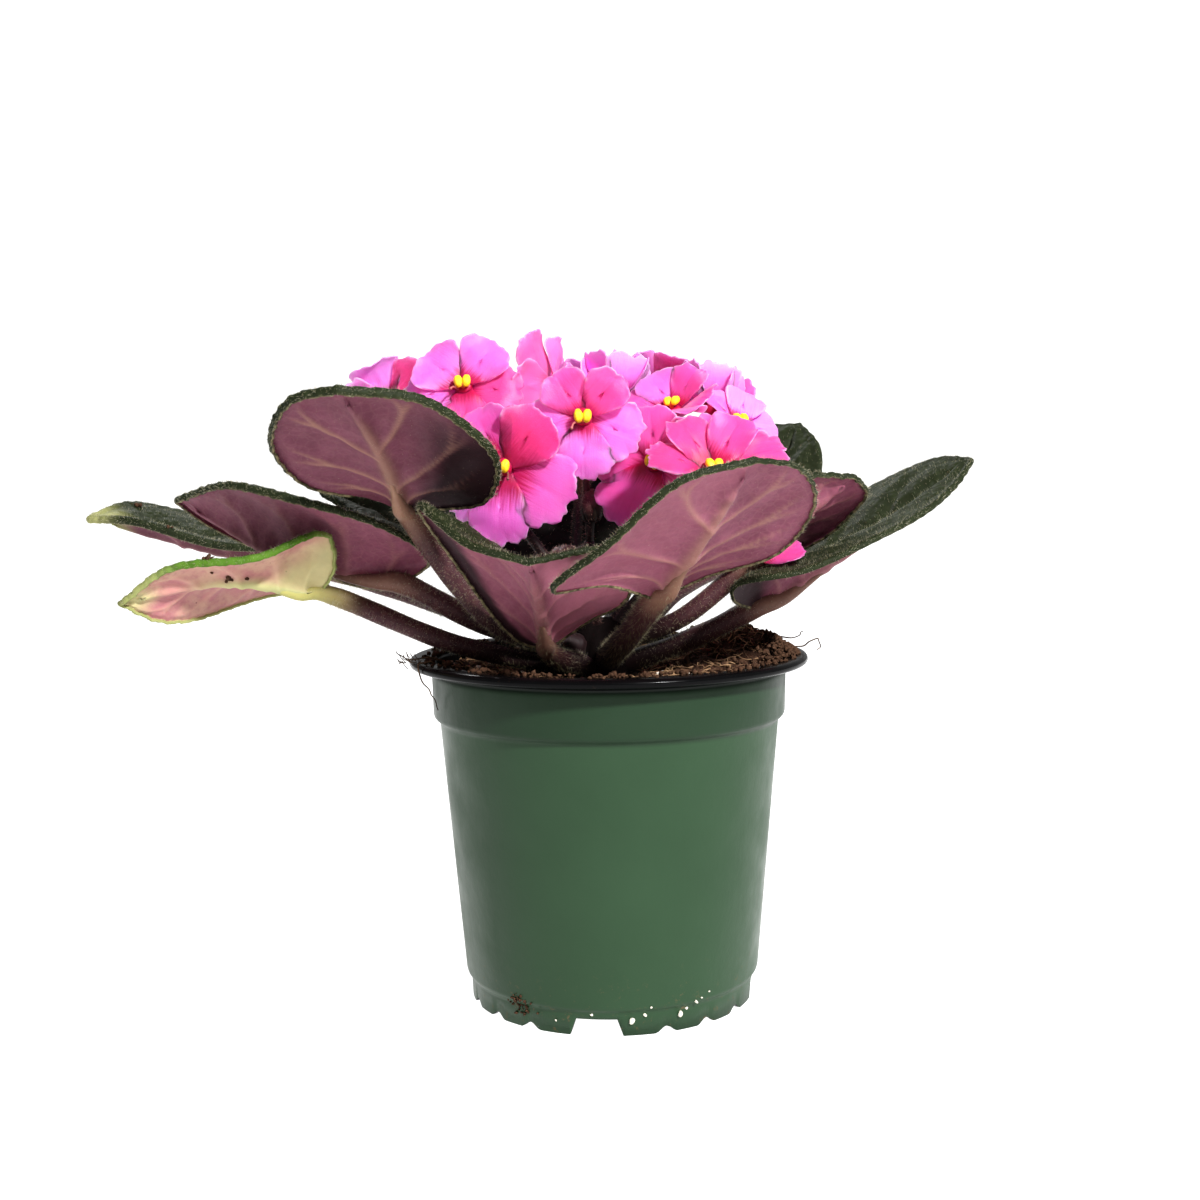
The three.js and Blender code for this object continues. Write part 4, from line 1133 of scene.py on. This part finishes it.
def leaf_hairs(leaf, number, sheet, under, upper, stem):
    """Hairs, densest on the margins, the veins below and the petiole, and fewer at the back."""
    thin = 0.4 if leaf["name"] in BACK_LEAVES else 1.0
    on_margin = sheet.s[sheet.faces].mean(1) > 0.97
    on_vein = sheet.vein[sheet.faces].mean(1)
    on_stem = stem.along[stem.faces].mean(1)
    above = np.where(on_margin, 2.2, 0.5) * thin
    below = np.where(on_margin, 1.2, 0.1 + 0.7 * on_vein) * thin
    round_stem = np.where(on_stem < stem.neck, 2.2, 0.5) * smooth(0.04, 0.1, on_stem) * thin
    hairs = Build()
    hairs.add(*fuzz(upper, sheet.faces[:, ::-1], above, 1.1, 700 + number, radius=0.04))
    hairs.add(*fuzz(under, sheet.faces, below, 0.45, 800 + number, radius=0.025))
    hairs.add(*fuzz(stem.points, stem.faces, round_stem, 1.35, 900 + number, radius=0.038))
    hairs.object(leaf["name"] + "_hairs", ["hair"], "leaf")


def make_leaf(leaf, number):
    blade = Blade(leaf)
    sheet = blade_sheet(blade, PLAIN if leaf["name"] in BACK_LEAVES else FINE)
    under, upper = relief(sheet, number)
    sheet.vein = np.maximum(sheet.rib * lerp(1.0, 0.5, sheet.t), sheet.side_vein * 0.75) * sheet.inside
    points, faces = thick(under, upper, sheet.faces, sheet.count)
    is_under = np.arange(len(faces)) < len(sheet.faces)
    made = Build()
    made.add(points, faces, is_under, **leaf_colours(leaf, sheet))
    stem = petiole(leaf, blade, number)
    at_blade = smooth(stem.neck * 0.8, stem.neck * 1.1, stem.along)
    # foot is painted shade, strongest at the crown
    made.add(stem.points, stem.faces, 2, vein=at_blade * max(leaf.get("tone", 0.3), 0.5),
             foot=smooth(0.55, 0.1, stem.along), lime=at_blade * leaf.get("ripe", 0.0))
    made.object(leaf["name"] + "_fine", ["upper", "under", "petiole"], "leaf", [leaf["name"]])
    leaf_hairs(leaf, number, sheet, under, upper, stem)


# The blooms
PETAL = Sizes(
    outline=[(0.0, 0.25), (0.3, 0.68), (0.66, 1.0), (0.94, 0.62)],
    steps=64,
    rings=13,
    thickness=0.55,
    edge_thickness=0.25,
    middle=0.6,
    base=1.2,
    layer=0.95,
    wave=0.05,
    flare=0.6,
    frill=0.75,
    fine_frill=0.22,
    crease=0.35,
)
UPPER = Sizes(lobes=0.012, droop=0.04)
LOWER = Sizes(lobes=0.026, droop=0.1)
# `cup` is how far the sides of a petal come forward.
PETALS = [
    {"turn": 100, "length": 1.0, "half": 0.57, "layer": 0, "cup": 0.0},
    {"turn": -100, "length": 1.0, "half": 0.57, "layer": 0, "cup": 0.0},
    {"turn": 180, "length": 1.08, "half": 0.64, "layer": 1, "cup": -0.3},
    {"turn": 34, "length": 0.9, "half": 0.47, "layer": 1, "cup": 1.5},
    {"turn": -34, "length": 0.9, "half": 0.47, "layer": 2, "cup": 1.5},
]
HUB = Sizes(radius=2.7, back=4, front=2.5)
ANTHER = Sizes(reach=1.9, across=1.22, depth=1.2, apart=1.14, turn=8, groove=0.16)
# `open` is how far the petals come forward in degrees, and `flare` how much of that they lose to the tips.
# `throat` is how slowly the crimson round the anthers ends, partly as painted shade, `longer` how
# much longer the petals are than those of the plain solid, and `style` marks the blooms whose pistil shows.
BLOOMS = [
    {"name": "bloom_1", "at": (-6, -32, 166), "faces": (0, -1, 0.02), "spin": 0,
     "radius": 14.6, "open": 8, "style": True},
    {"name": "bloom_2", "at": (-27, -33, 153), "faces": (-0.2, -1, 0.05), "spin": -4,
     "radius": 18.5, "open": 10, "throat": 0.6, "style": True},
    {"name": "bloom_3", "at": (-39, -14, 175), "faces": (-0.05, -1, 0.42), "spin": 4,
     "radius": 15.5, "open": 12, "style": True},
    {"name": "bloom_4", "at": (-63, 14, 172), "faces": (-0.4, 0.6, 0.6), "spin": 0,
     "radius": 15, "open": 20, "flare": 0.3},
    {"name": "bloom_5", "at": (-14.5, -1, 175), "faces": (-0.86, 0.45, 0.22), "spin": 0,
     "radius": 17, "open": 26, "flare": 0.3},
    {"name": "bloom_6", "at": (3, 12, 173.5), "faces": (0.05, 0.12, 0.99), "spin": 10,
     "radius": 14, "open": 15, "flare": -3},
    {"name": "bloom_7", "at": (19.5, -6, 167.5), "faces": (-0.25, -0.5, 0.83), "spin": 6,
     "radius": 14.2, "open": 36, "flare": 0.1},
    {"name": "bloom_8", "at": (31, 12, 169), "faces": (0.1, 0.1, 0.99), "spin": 15,
     "radius": 15, "open": 15, "flare": -3},
    {"name": "bloom_9", "at": (36.5, -4, 163.2), "faces": (0.45, -0.7, 0.62), "spin": 0,
     "radius": 12.8, "open": 12},
    {"name": "bloom_10", "at": (28, -39, 150), "faces": (0.05, -0.58, 0.8), "spin": 0,
     "radius": 17, "open": 36, "flare": 0.3, "throat": 0.75, "longer": 1.1, "style": True},
    {"name": "bloom_11", "at": (13.5, -23, 153.5), "faces": (-0.25, -0.95, 0.1), "spin": -28,
     "radius": 16.5, "open": 4, "throat": 0.95},
    {"name": "bloom_12", "at": (-14, 36, 176), "faces": (-0.2, 0.6, 0.8), "spin": 0,
     "radius": 13, "open": 14},
    {"name": "bloom_13", "at": (17, 36, 177), "faces": (0.2, 0.6, 0.8), "spin": 0,
     "radius": 13, "open": 14},
]
FALLEN = {"at": (40.5, -25.5, 127.4), "faces": (0.05, -0.65, 0.76), "spin": -80, "radius": 12, "open": 16}
# How each petal differs, in the order of PETALS: its turn in degrees, its share of the width, and its
# tint, which is above 0 lilac and pale, partly painted light, and below 0 crimson, partly aged and partly
# painted shade.
MANNERS = {
    "bloom_1": ((8, 1, 0.55), (-12, 1, 0.6), (0, 0.9, 0.65), (0, 1, -0.05), (-8, 0.95, -0.2)),
    "bloom_2": ((22, 0.9, 0.8), (-14, 1, 0.3), (0, 0.75, 0.45), (-4, 1, 0.3), (-4, 1.05, -0.55)),
    "bloom_3": ((2, 0.8, 0.4), (-2, 0.9, -0.1), (0, 0.9, 0.0), (16, 1.2, 0.4), (-6, 1.1, 0.45)),
    "bloom_4": ((0, 1, -0.5), (0, 1, 0.6), (0, 1, 0.0), (0, 1, -0.8), (0, 1.1, 0.7)),
    "bloom_5": ((0, 1, -0.1), (10, 0.8, -0.1), (0, 1, -0.1), (0, 0.8, 0.0), (6, 0.9, -0.35)),
    "bloom_6": ((0, 1, 0.7), (0, 1, 0.8), (0, 1, 0.8), (4, 1.1, 0.9), (-8, 1, 0.8)),
    "bloom_7": ((0, 1, 0.1), (-16, 1.25, -0.3), (14, 1.15, 0.0), (8, 1, 0.5), (0, 1.05, 0.1)),
    "bloom_8": ((0, 1, 0.7), (0, 1, 0.6), (0, 1, 0.1), (0, 1, 0.5), (0, 0.9, 0.6)),
    "bloom_9": ((0, 0.8, 0.1), (0, 1, 0.9), (0, 1, 0.3), (-6, 0.7, 0.4), (0, 1.1, 1.0)),
    "bloom_10": ((-14, 0.7, -0.3), (10, 1.1, -0.12), (40, 0.8, 0.3), (-4, 0.85, -0.25), (2, 0.85, 0.05)),
    "bloom_11": ((0, 1, 0.1), (0, 1, 0.0), (0, 1.1, 0.1), (0, 1, 0.1), (0, 1, -0.1)),
    "bloom_12": ((0, 1, 0.4), (6, 0.9, 0.2), (0, 1, 0.0), (4, 1, 0.5), (-4, 1, 0.3)),
    "bloom_13": ((4, 1, -1.0), (0, 1, -1.0), (0, 0.9, -1.0), (0, 1, -0.6), (-6, 1, 0.2)),
}


def bloom_axes(bloom):
    """The bloom's own frame as rows: right, up and out, with its spin."""
    out = unit(np.array(bloom["faces"], float))
    right = unit(np.cross([0, 0, 1], out))
    up = np.cross(out, right)
    cos, sin = math.cos(math.radians(bloom["spin"])), math.sin(math.radians(bloom["spin"]))
    return np.array([cos * right + sin * up, -sin * right + cos * up, out])


def place(points, bloom):
    return points @ bloom_axes(bloom) + bloom["at"]


def petal_outline(depth, rng):
    """The outline of a petal of length 1 and half width 1, once round from its base, with seeded lobes."""
    right = [(x, y, 0) for x, y in PETAL.outline]
    left = [(x, -y, 0) for x, y in reversed(PETAL.outline)]
    outline = Curve([*right, (1, 0, 0), *left], 30).at(np.linspace(0, 1, PETAL.steps))[:, :2]
    angle = np.linspace(0, TURN, PETAL.steps)
    waves = ((6, 1), (11, 0.8), (19, 0.45))
    lobes = sum(np.sin(count * angle + rng.uniform(0, TURN)) * weight for count, weight in waves)
    return outline * (1 + depth * lobes * smooth(0.45, 0.8, outline[:, 0]))[:, None]


def petal_sheet(outline):
    """Rings of points from a petal's middle out to its outline: their shares, places and faces."""
    steps, rings = PETAL.steps, PETAL.rings
    middle = np.array([PETAL.middle, 0])
    shares = np.linspace(0, 1, rings + 1)[1:] ** 0.85
    flat = np.vstack([middle, *(middle + (outline - middle) * share for share in shares)])
    k = np.arange(steps)
    after = (k + 1) % steps
    fan = np.stack([np.zeros(steps, int), 1 + k, 1 + after], 1)
    quads = []
    for inner in 1 + steps * np.arange(rings - 1):
        outer = inner + steps
        quads.append(np.stack([inner + k, outer + k, outer + after, inner + after], 1))
    share = np.concatenate([[0], np.repeat(shares, steps)])
    return share, flat, np.vstack([fan, triangles_of(np.vstack(quads))])


def petal(made, bloom, shape, number, manner):
    """Adds one petal, a closed waved sheet, to a bloom."""
    rng = np.random.default_rng(3000 + number)
    shift, share_of_width, tint = manner
    cup = shape["cup"]
    reach = shape["length"] * bloom["radius"] * bloom.get("longer", 1) * rng.uniform(0.95, 1.05)
    width = shape["half"] * bloom["radius"] * share_of_width
    form = UPPER if cup > 0 else LOWER
    share, flat, faces = petal_sheet(petal_outline(form.lobes, rng))
    out, side = flat[:, 0], flat[:, 1]
    x, y = out * reach, side * width
    slope = math.radians(bloom["open"] + rng.uniform(-3, 3)) * (1 - bloom.get("flare", PETAL.flare) * out)
    edge = PETAL.wave * width * side ** 2 * np.sin(math.radians(shape["turn"]) + 3 * out)
    sides = cup * side ** 2 * smooth(0.1, 0.6, out)
    tilt = rng.uniform(-0.05, 0.05) * y
    wave_places = np.stack([x, y, np.full_like(x, number * 3.7)], 1)
    frill = PETAL.frill * ripple(wave_places, 9, 3100 + number) * share**2.5
    frill = frill + PETAL.fine_frill * ripple(wave_places, 3.6, 3200 + number) * share**6
    crease = PETAL.crease * bell(side, 0.1) * smooth(1.0, 0.3, out)
    droop = form.droop * reach * smooth(0.6, 1.1, out)
    rise = shape["layer"] * PETAL.layer + x * np.sin(slope) + edge + sides + tilt + frill - crease - droop
    back = np.stack([-y, PETAL.base + x * np.cos(slope), rise], 1)
    thickness = lerp(PETAL.thickness, PETAL.edge_thickness, share**2)
    front = back - vertex_normals(back, faces) * thickness[:, None]
    points, all_faces = thick(back, front, faces, PETAL.steps)
    lip = smooth(0.9, 1.0, share) * smooth(0.3, 0.5, out)
    flat_place = np.stack([out + number * 7.3, side, np.zeros(len(out))], 1)
    placed = place(spun(points, shape["turn"] + shift), bloom)
    # out carries the crimson round the anthers, spread further on some blooms as painted shade
    made.add(placed, all_faces, out=np.tile(out, 2) * bloom.get("throat", 1),
             back=np.arange(len(points)) < len(back), old=max(-tint, 0.0), pale=max(tint, 0.0),
             lip=np.tile(lip, 2), petal_place=np.tile(flat_place, (2, 1)))


def make_bloom(bloom, number):
    made = Build()
    for index, shape in enumerate(PETALS):
        petal(made, bloom, shape, number * 10 + index, MANNERS[bloom["name"]][index])
    hub = softened([(0.2, -HUB.back), (HUB.radius * 0.55, -HUB.back), (HUB.radius, 0),
                    (HUB.radius * 0.92, HUB.front - 0.5), (HUB.radius * 0.6, HUB.front),
                    (0.2, HUB.front - 0.4)], 0.8)
    points, faces = turned(hub, 28)
    made.add(place(points, bloom), faces, out=0.05)
    made.object(bloom["name"] + "_petals", ["petal"], "petal", [bloom["name"]])


def anthers(bloom, number):
    """Two grooved pollen sacs side by side, on a short filament."""
    made = Build()
    points, faces = BALLS[2]
    for side in (1, -1):
        groove = 1 - ANTHER.groove * bell(points[:, 0], 0.22) * smooth(-0.2, 0.5, points[:, 2])
        shape = points * groove[:, None] * [ANTHER.across, ANTHER.reach, ANTHER.depth]
        shape = shape * (1 + 0.03 * ripple(points, 0.9, number * 2 + side + 5))[:, None]
        shape = spun(shape, -ANTHER.turn * side) + [side * ANTHER.apart, 0.2, HUB.front + GAP + ANTHER.depth]
        made.add(place(shape, bloom), faces, base=smooth(-0.1, -0.8, points[:, 2]))
    filament = Curve([(0, -0.4, HUB.front - 0.8), (0, -0.9, HUB.front + 0.9), (0, -0.3, HUB.front + 1.6)])
    stem, stem_faces = tube(filament.at(np.linspace(0, 1, 8)), 0.6, 10)
    made.add(place(stem, bloom), stem_faces, base=1.0)
    name = bloom["name"].replace("bloom", "anthers")
    made.object(name + "_pair", ["anther"], "anther", [name])


def style_pin(bloom, number):
    """The slim pistil that leans out beside the anthers."""
    lean = 1 if number % 2 else -1
    path = Curve([(lean * 1.2, -1.2, HUB.front - 0.6), (lean * 2.4, -1.8, HUB.front + 2.4),
                  (lean * 2.9, -3.1, HUB.front + 4.2)]).at(np.linspace(0, 1, 12))
    points, faces = tube(path, lerp(0.34, 0.26, np.linspace(0, 1, 12)), 8)
    knob, knob_faces = BALLS[1]
    made = Build()
    made.add(place(points, bloom), faces, blush=1.0)
    made.add(place(knob * 0.45 + path[-1], bloom), knob_faces, blush=1.0)
    made.object(bloom["name"].replace("bloom", "style"), ["stalk"], "flower_stalk")


def fallen_petal():
    made = Build()
    petal(made, FALLEN, {"turn": 0, "length": 1, "half": 0.42, "layer": 0, "cup": 0.6}, 997, (0, 1, -0.25))
    made.object("fallen_petal_fine", ["petal"], "petal", ["fallen_petal"])


# The flower stalks
STALK = Sizes(radius=1.5, pedicel=1.0, calyx=1.9, calyx_length=3.2, sepal_reach=2.6, sepal_spread=1.7)
BUD = Sizes(radius=3.4, length=4.6, sepal_reach=4.6, sepal_spread=2.4)
STALKS = [
    {"name": "stalk_left", "root": (215, 107), "bend": (-14, -8, 122), "fork": (-27, -12, 141),
     "blooms": (2, 3, 4)},
    {"name": "stalk_front", "root": (270, 107), "bend": (-4, -9, 118), "fork": (-5, -14, 132),
     "blooms": (1,), "buds": [(-4, -16, 142), (-12, -22, 128)]},
    {"name": "stalk_back", "root": (120, 107), "bend": (-9, 8, 122), "fork": (-8, 10, 145),
     "blooms": (5, 6, 12)},
    {"name": "stalk_right", "root": (20, 107), "bend": (7, 4, 120), "fork": (14, 0, 140),
     "blooms": (7, 11, 13)},
    {"name": "stalk_far_right", "root": (340, 107), "bend": (14, -3, 121), "fork": (33, 1, 140),
     "blooms": (8, 9, 10)},
]


def turned_to(points, direction, at):
    turn = np.array(Vector((0, 0, 1)).rotation_difference(Vector(direction)).to_matrix())
    return points @ turn.T + at


def sepals(made, end, out, reach, wide, first):
    """Five narrow pointed sepals in a cup round the foot of a bloom or bud."""
    u = np.linspace(0, 1, 9)
    spread = wide * (0.75 + 0.5 * np.sin(u * 2.2)) + 0.25
    radius = 0.75 * np.sqrt(np.clip(1 - u**1.6, 0.02, 1)) + 0.05
    for k in range(5):
        angle = k * TURN / 5 + first
        path = np.stack([spread * math.cos(angle), spread * math.sin(angle), lerp(-0.8, reach, u)], 1)
        points, faces = tube(path, radius, 8, ((math.cos(angle), math.sin(angle), 0), 0.4))
        made.add(turned_to(points, out, end), faces, green=1.0)


def pedicel(made, hairs, start, bloom, which):
    """The thin stem from the fork to a bloom, with its calyx."""
    out = unit(np.array(bloom["faces"], float))
    end = np.array(bloom["at"]) - out * (HUB.back + GAP)
    path = Curve([start, end - out * 6 - [0, 0, 1.5], end - out * 0.6])
    hairs.add(*fuzz(*made.add_rod(path, 26, STALK.pedicel, 12), 1.6, 0.9, 4100 + which))
    foot = -STALK.calyx_length
    cup = softened([(0.1, foot), (STALK.pedicel * 1.1, foot), (STALK.calyx, -0.6), (STALK.calyx * 0.8, 0),
                    (0.1, 0)], 0.6)
    points, faces = turned(cup, 16)
    made.add(turned_to(points, out, end), faces, green=0.6)
    sepals(made, end, out, STALK.sepal_reach, STALK.sepal_spread, which)


def bud(made, hairs, start, at, index):
    out = unit(at - start)
    made.add_rod(Curve([start, (start + at) / 2, at]), 14, STALK.pedicel, 12)
    points, faces = BALLS[3]
    swirl = 1 + 0.06 * np.sin(5 * np.arctan2(points[:, 1], points[:, 0]) + points[:, 2] * 2.5)
    shape = turned_to(points * [BUD.radius, BUD.radius, BUD.length] * swirl[:, None], out, at)
    made.add(shape, faces, blush=smooth(-0.6, 0.3, points[:, 2]))
    hairs.add(*fuzz(shape, faces, 1.8, 0.8, 4200 + index))
    sepals(made, at - out * BUD.length * 0.7, out, BUD.sepal_reach, BUD.sepal_spread, index)


def flower_stalk(stalk, number):
    made, hairs = Build(), Build()
    bend, fork = np.array(stalk["bend"], float), np.array(stalk["fork"], float)
    main = Curve([crown_point(stalk["root"], CROWN.top_radius - 2), bend, fork])
    hairs.add(*fuzz(*made.add_rod(main, 36, STALK.radius, 14), 1.6, 1.0, 4000 + number))
    start = fork - unit(fork - bend) * 1.2
    for which in stalk["blooms"]:
        pedicel(made, hairs, start, BLOOMS[which - 1], which)
    for index, at in enumerate(np.array(stalk.get("buds", ()), float)):
        bud(made, hairs, start, at, index)
    made.object(stalk["name"] + "_fine", ["stalk"], "flower_stalk", [stalk["name"]])
    hairs.object(stalk["name"] + "_hairs", ["stalk_hair"], "flower_stalk")


# Loose bits
def on_pot(heading, z, height):
    """A point on the outside of the pot's lower wall, by heading in degrees, and set at another height."""
    share = (z - POT.foot_top) / (POT.band_bottom - POT.foot_top)
    radius = lerp(POT.foot_top_radius, POT.shoulder_radius, share) if share > 0 else POT.foot_radius + 0.3
    angle = math.radians(heading)
    return np.array([math.cos(angle), math.sin(angle), 0]) * (radius + 0.05) + [0, 0, height]


def specks():
    """White chips that stick to the pot's foot, each by heading, height and size."""
    made = Build()
    chips = [(-83, 4.2, 0.9), (-78, 5.6, 0.5), (-64, 4.6, 0.85), (-61, 5.8, 0.5), (-58, 7.6, 0.5),
             (-55.5, 8.4, 0.4), (-76, 8.0, 0.4), (-98, 6.0, 0.4), (-112, 3.6, 0.3), (-52, 9.6, 0.35)]
    for number, (heading, z, size) in enumerate(chips):
        made.add(*lump(on_pot(heading, z, z), size, 5000 + number, 1, 0.8))
    made.object("perlite_chips", ["perlite"], "peat")


def foot_dirt():
    """A dab of peat on the pot's foot."""
    rng = np.random.default_rng(61)
    made = Build()
    for number in range(46):
        heading, z = rng.normal(-127, 2.6), rng.normal(6.2, 1.5)
        made.add(*lump(on_pot(heading, z, max(z, 2.2)), rng.uniform(0.2, 0.6), 5100 + number, 0, 0.8))
    made.object("peat_specks", ["crumb"], "peat")


def leaf_dirt():
    """Crumbs of peat that lie on the two lowest leaves of the left side, each by place and size."""
    made = Build()
    spots = [(-105.7, -33.6, 125.9, 0.45), (-102.5, -30.9, 123.4, 0.5), (-102.0, -31.0, 124.4, 0.7),
             (-101.2, -30.6, 123.7, 0.55), (-97.5, -28.8, 123.8, 0.6), (-146.8, 38.7, 142.6, 0.9),
             (-145.6, 38.4, 142.4, 0.7), (-148.2, 38.8, 142.5, 0.5), (-130.4, 14.2, 136.6, 0.6),
             (-129.3, 14.4, 136.4, 0.5), (-105.2, -39.0, 130.4, 0.8), (-106.2, -39.0, 130.2, 0.6),
             (-104.3, -39.0, 130.3, 0.5)]
    for number, (*at, size) in enumerate(spots):
        made.add(*lump(np.array(at), size, 5200 + number, 1, 0.7))
    made.object("leaf_dirt", ["crumb"], "peat")


def roots():
    """Fine roots that lie over the rim on the left and curl at the right."""
    made = Build()
    routes = [
        [(-44, -18, 98), (-50.5, -22, 99.8), (-52, -24.5, 99.4), (-51.6, -25.5, 95), (-48.4, -22, 90),
         (-47.4, -21, 86)],
        [(-45, -12, 98), (-52, -14, 100), (-56.6, -15.5, 99.6), (-58.4, -16.2, 101.4), (-60, -15, 102)],
        [(47, 2, 98), (53, 2, 100), (57, 0, 100.6), (59.6, -3, 102.6), (60.6, -6, 101), (59.2, -8, 99.9)],
        [(45, 12, 99), (51, 15, 101), (55.6, 14, 101.4), (57.6, 10, 103.2)],
    ]
    for index, route in enumerate(routes):
        path = Curve(route).at(np.linspace(0, 1, 34))
        path = path + 0.25 * np.stack([ripple(path, 5, 70 + index * 3 + k) for k in range(3)], 1)
        made.add(*tube(path, lerp(0.3, 0.14, np.linspace(0, 1, 34)), 6))
    rng = np.random.default_rng(71)
    for _ in range(16):
        start = np.array([-52 - rng.uniform(0, 6), -18 + rng.uniform(-3, 3), POT.height + 0.4])
        way = unit(np.array([-0.6, -0.2, 0.5]) + rng.normal(scale=0.45, size=3))
        end = start + way * rng.uniform(2, 3.4) + [0, 0, 0.5]
        made.add_rod(Curve([start, start + way * 1.6, end]), 6, 0.11, 4)
    made.object("fine_roots", ["root"], "peat")


# The floor, the light and the camera. Places and sizes here are in metres.
SKY_LIGHT = 0.3
FLOOR_HALF = 6.0
CAMERA = Sizes(distance=0.450, height=0.1545, pitch=0.089, yaw=-0.005, roll=-0.013, focal_pixels=1563.5,
               image_side=1200, sensor=36)


def linked(name, data):
    made = bpy.data.objects.new(name, data)
    bpy.context.scene.collection.objects.link(made)
    return made


def floor():
    mesh = bpy.data.meshes.new("floor")
    corners = [(x * FLOOR_HALF, y * FLOOR_HALF, 0) for x, y in ((-1, -1), (1, -1), (1, 1), (-1, 1))]
    mesh.from_pydata(corners, [], [(0, 1, 2, 3)])
    mesh.materials.append(floor_skin())
    linked("floor", mesh)


def lamp(name, at, target, size, power):
    light = bpy.data.lights.new(name, "AREA")
    light.shape = "DISK"
    light.size = size
    light.energy = power
    made = linked(name, light)
    made.location = at
    made.rotation_euler = (Vector(target) - Vector(at)).to_track_quat("-Z", "Y").to_euler()


def world():
    """A dim white sky that the camera sees as plain white."""
    sky = bpy.data.worlds.new("studio")
    bpy.context.scene.world = sky
    sky.use_nodes = True
    tree = sky.node_tree
    back = tree.nodes["Background"]
    back.inputs["Color"].default_value = (1, 1, 1, 1)
    seen = tree.nodes.new("ShaderNodeLightPath").outputs["Is Camera Ray"]
    strength = tree.nodes.new("ShaderNodeMapRange")
    strength.inputs["To Min"].default_value = SKY_LIGHT
    strength.inputs["To Max"].default_value = 1.0
    tree.links.new(seen, strength.inputs["Value"])
    tree.links.new(strength.outputs["Result"], back.inputs["Strength"])


def camera():
    c = CAMERA
    level = math.cos(c.pitch)
    forward = Vector((math.sin(c.yaw) * level, math.cos(c.yaw) * level, -math.sin(c.pitch)))
    right = Vector((math.cos(c.yaw), -math.sin(c.yaw), 0))
    up = right.cross(forward)
    cos, sin = math.cos(c.roll), math.sin(c.roll)
    right, up = cos * right + sin * up, -sin * right + cos * up
    data = bpy.data.cameras.new("camera")
    data.sensor_fit = "HORIZONTAL"
    data.sensor_width = c.sensor
    data.lens = c.focal_pixels / c.image_side * c.sensor
    data.clip_start = 0.01
    made = linked("camera", data)
    axes = Matrix((right, up, -forward)).transposed().to_4x4()
    made.matrix_world = Matrix.Translation((0, -c.distance, c.height)) @ axes
    bpy.context.scene.camera = made


# Everything is made here
for make in (pot, soil, crumbs, fibres, perlite, crown):
    make()
for number, data in enumerate(LEAVES):
    make_leaf(data, number)
for number, data in enumerate(STALKS):
    flower_stalk(data, number)
for number, data in enumerate(BLOOMS):
    make_bloom(data, number)
    anthers(data, number)
    if data.get("style"):
        style_pin(data, number)
for make in (fallen_petal, specks, foot_dirt, leaf_dirt, roots, floor, world, camera):
    make()
lamp("key", (0.62, -0.95, 0.95), (0, 0, 0.13), 0.14, 31)
lamp("back", (-0.35, 1.0, 1.0), (0, 0, 0.15), 0.5, 5)
bpy.context.scene.view_settings.view_transform = "Standard"
bpy.context.scene.view_settings.look = "Medium High Contrast"
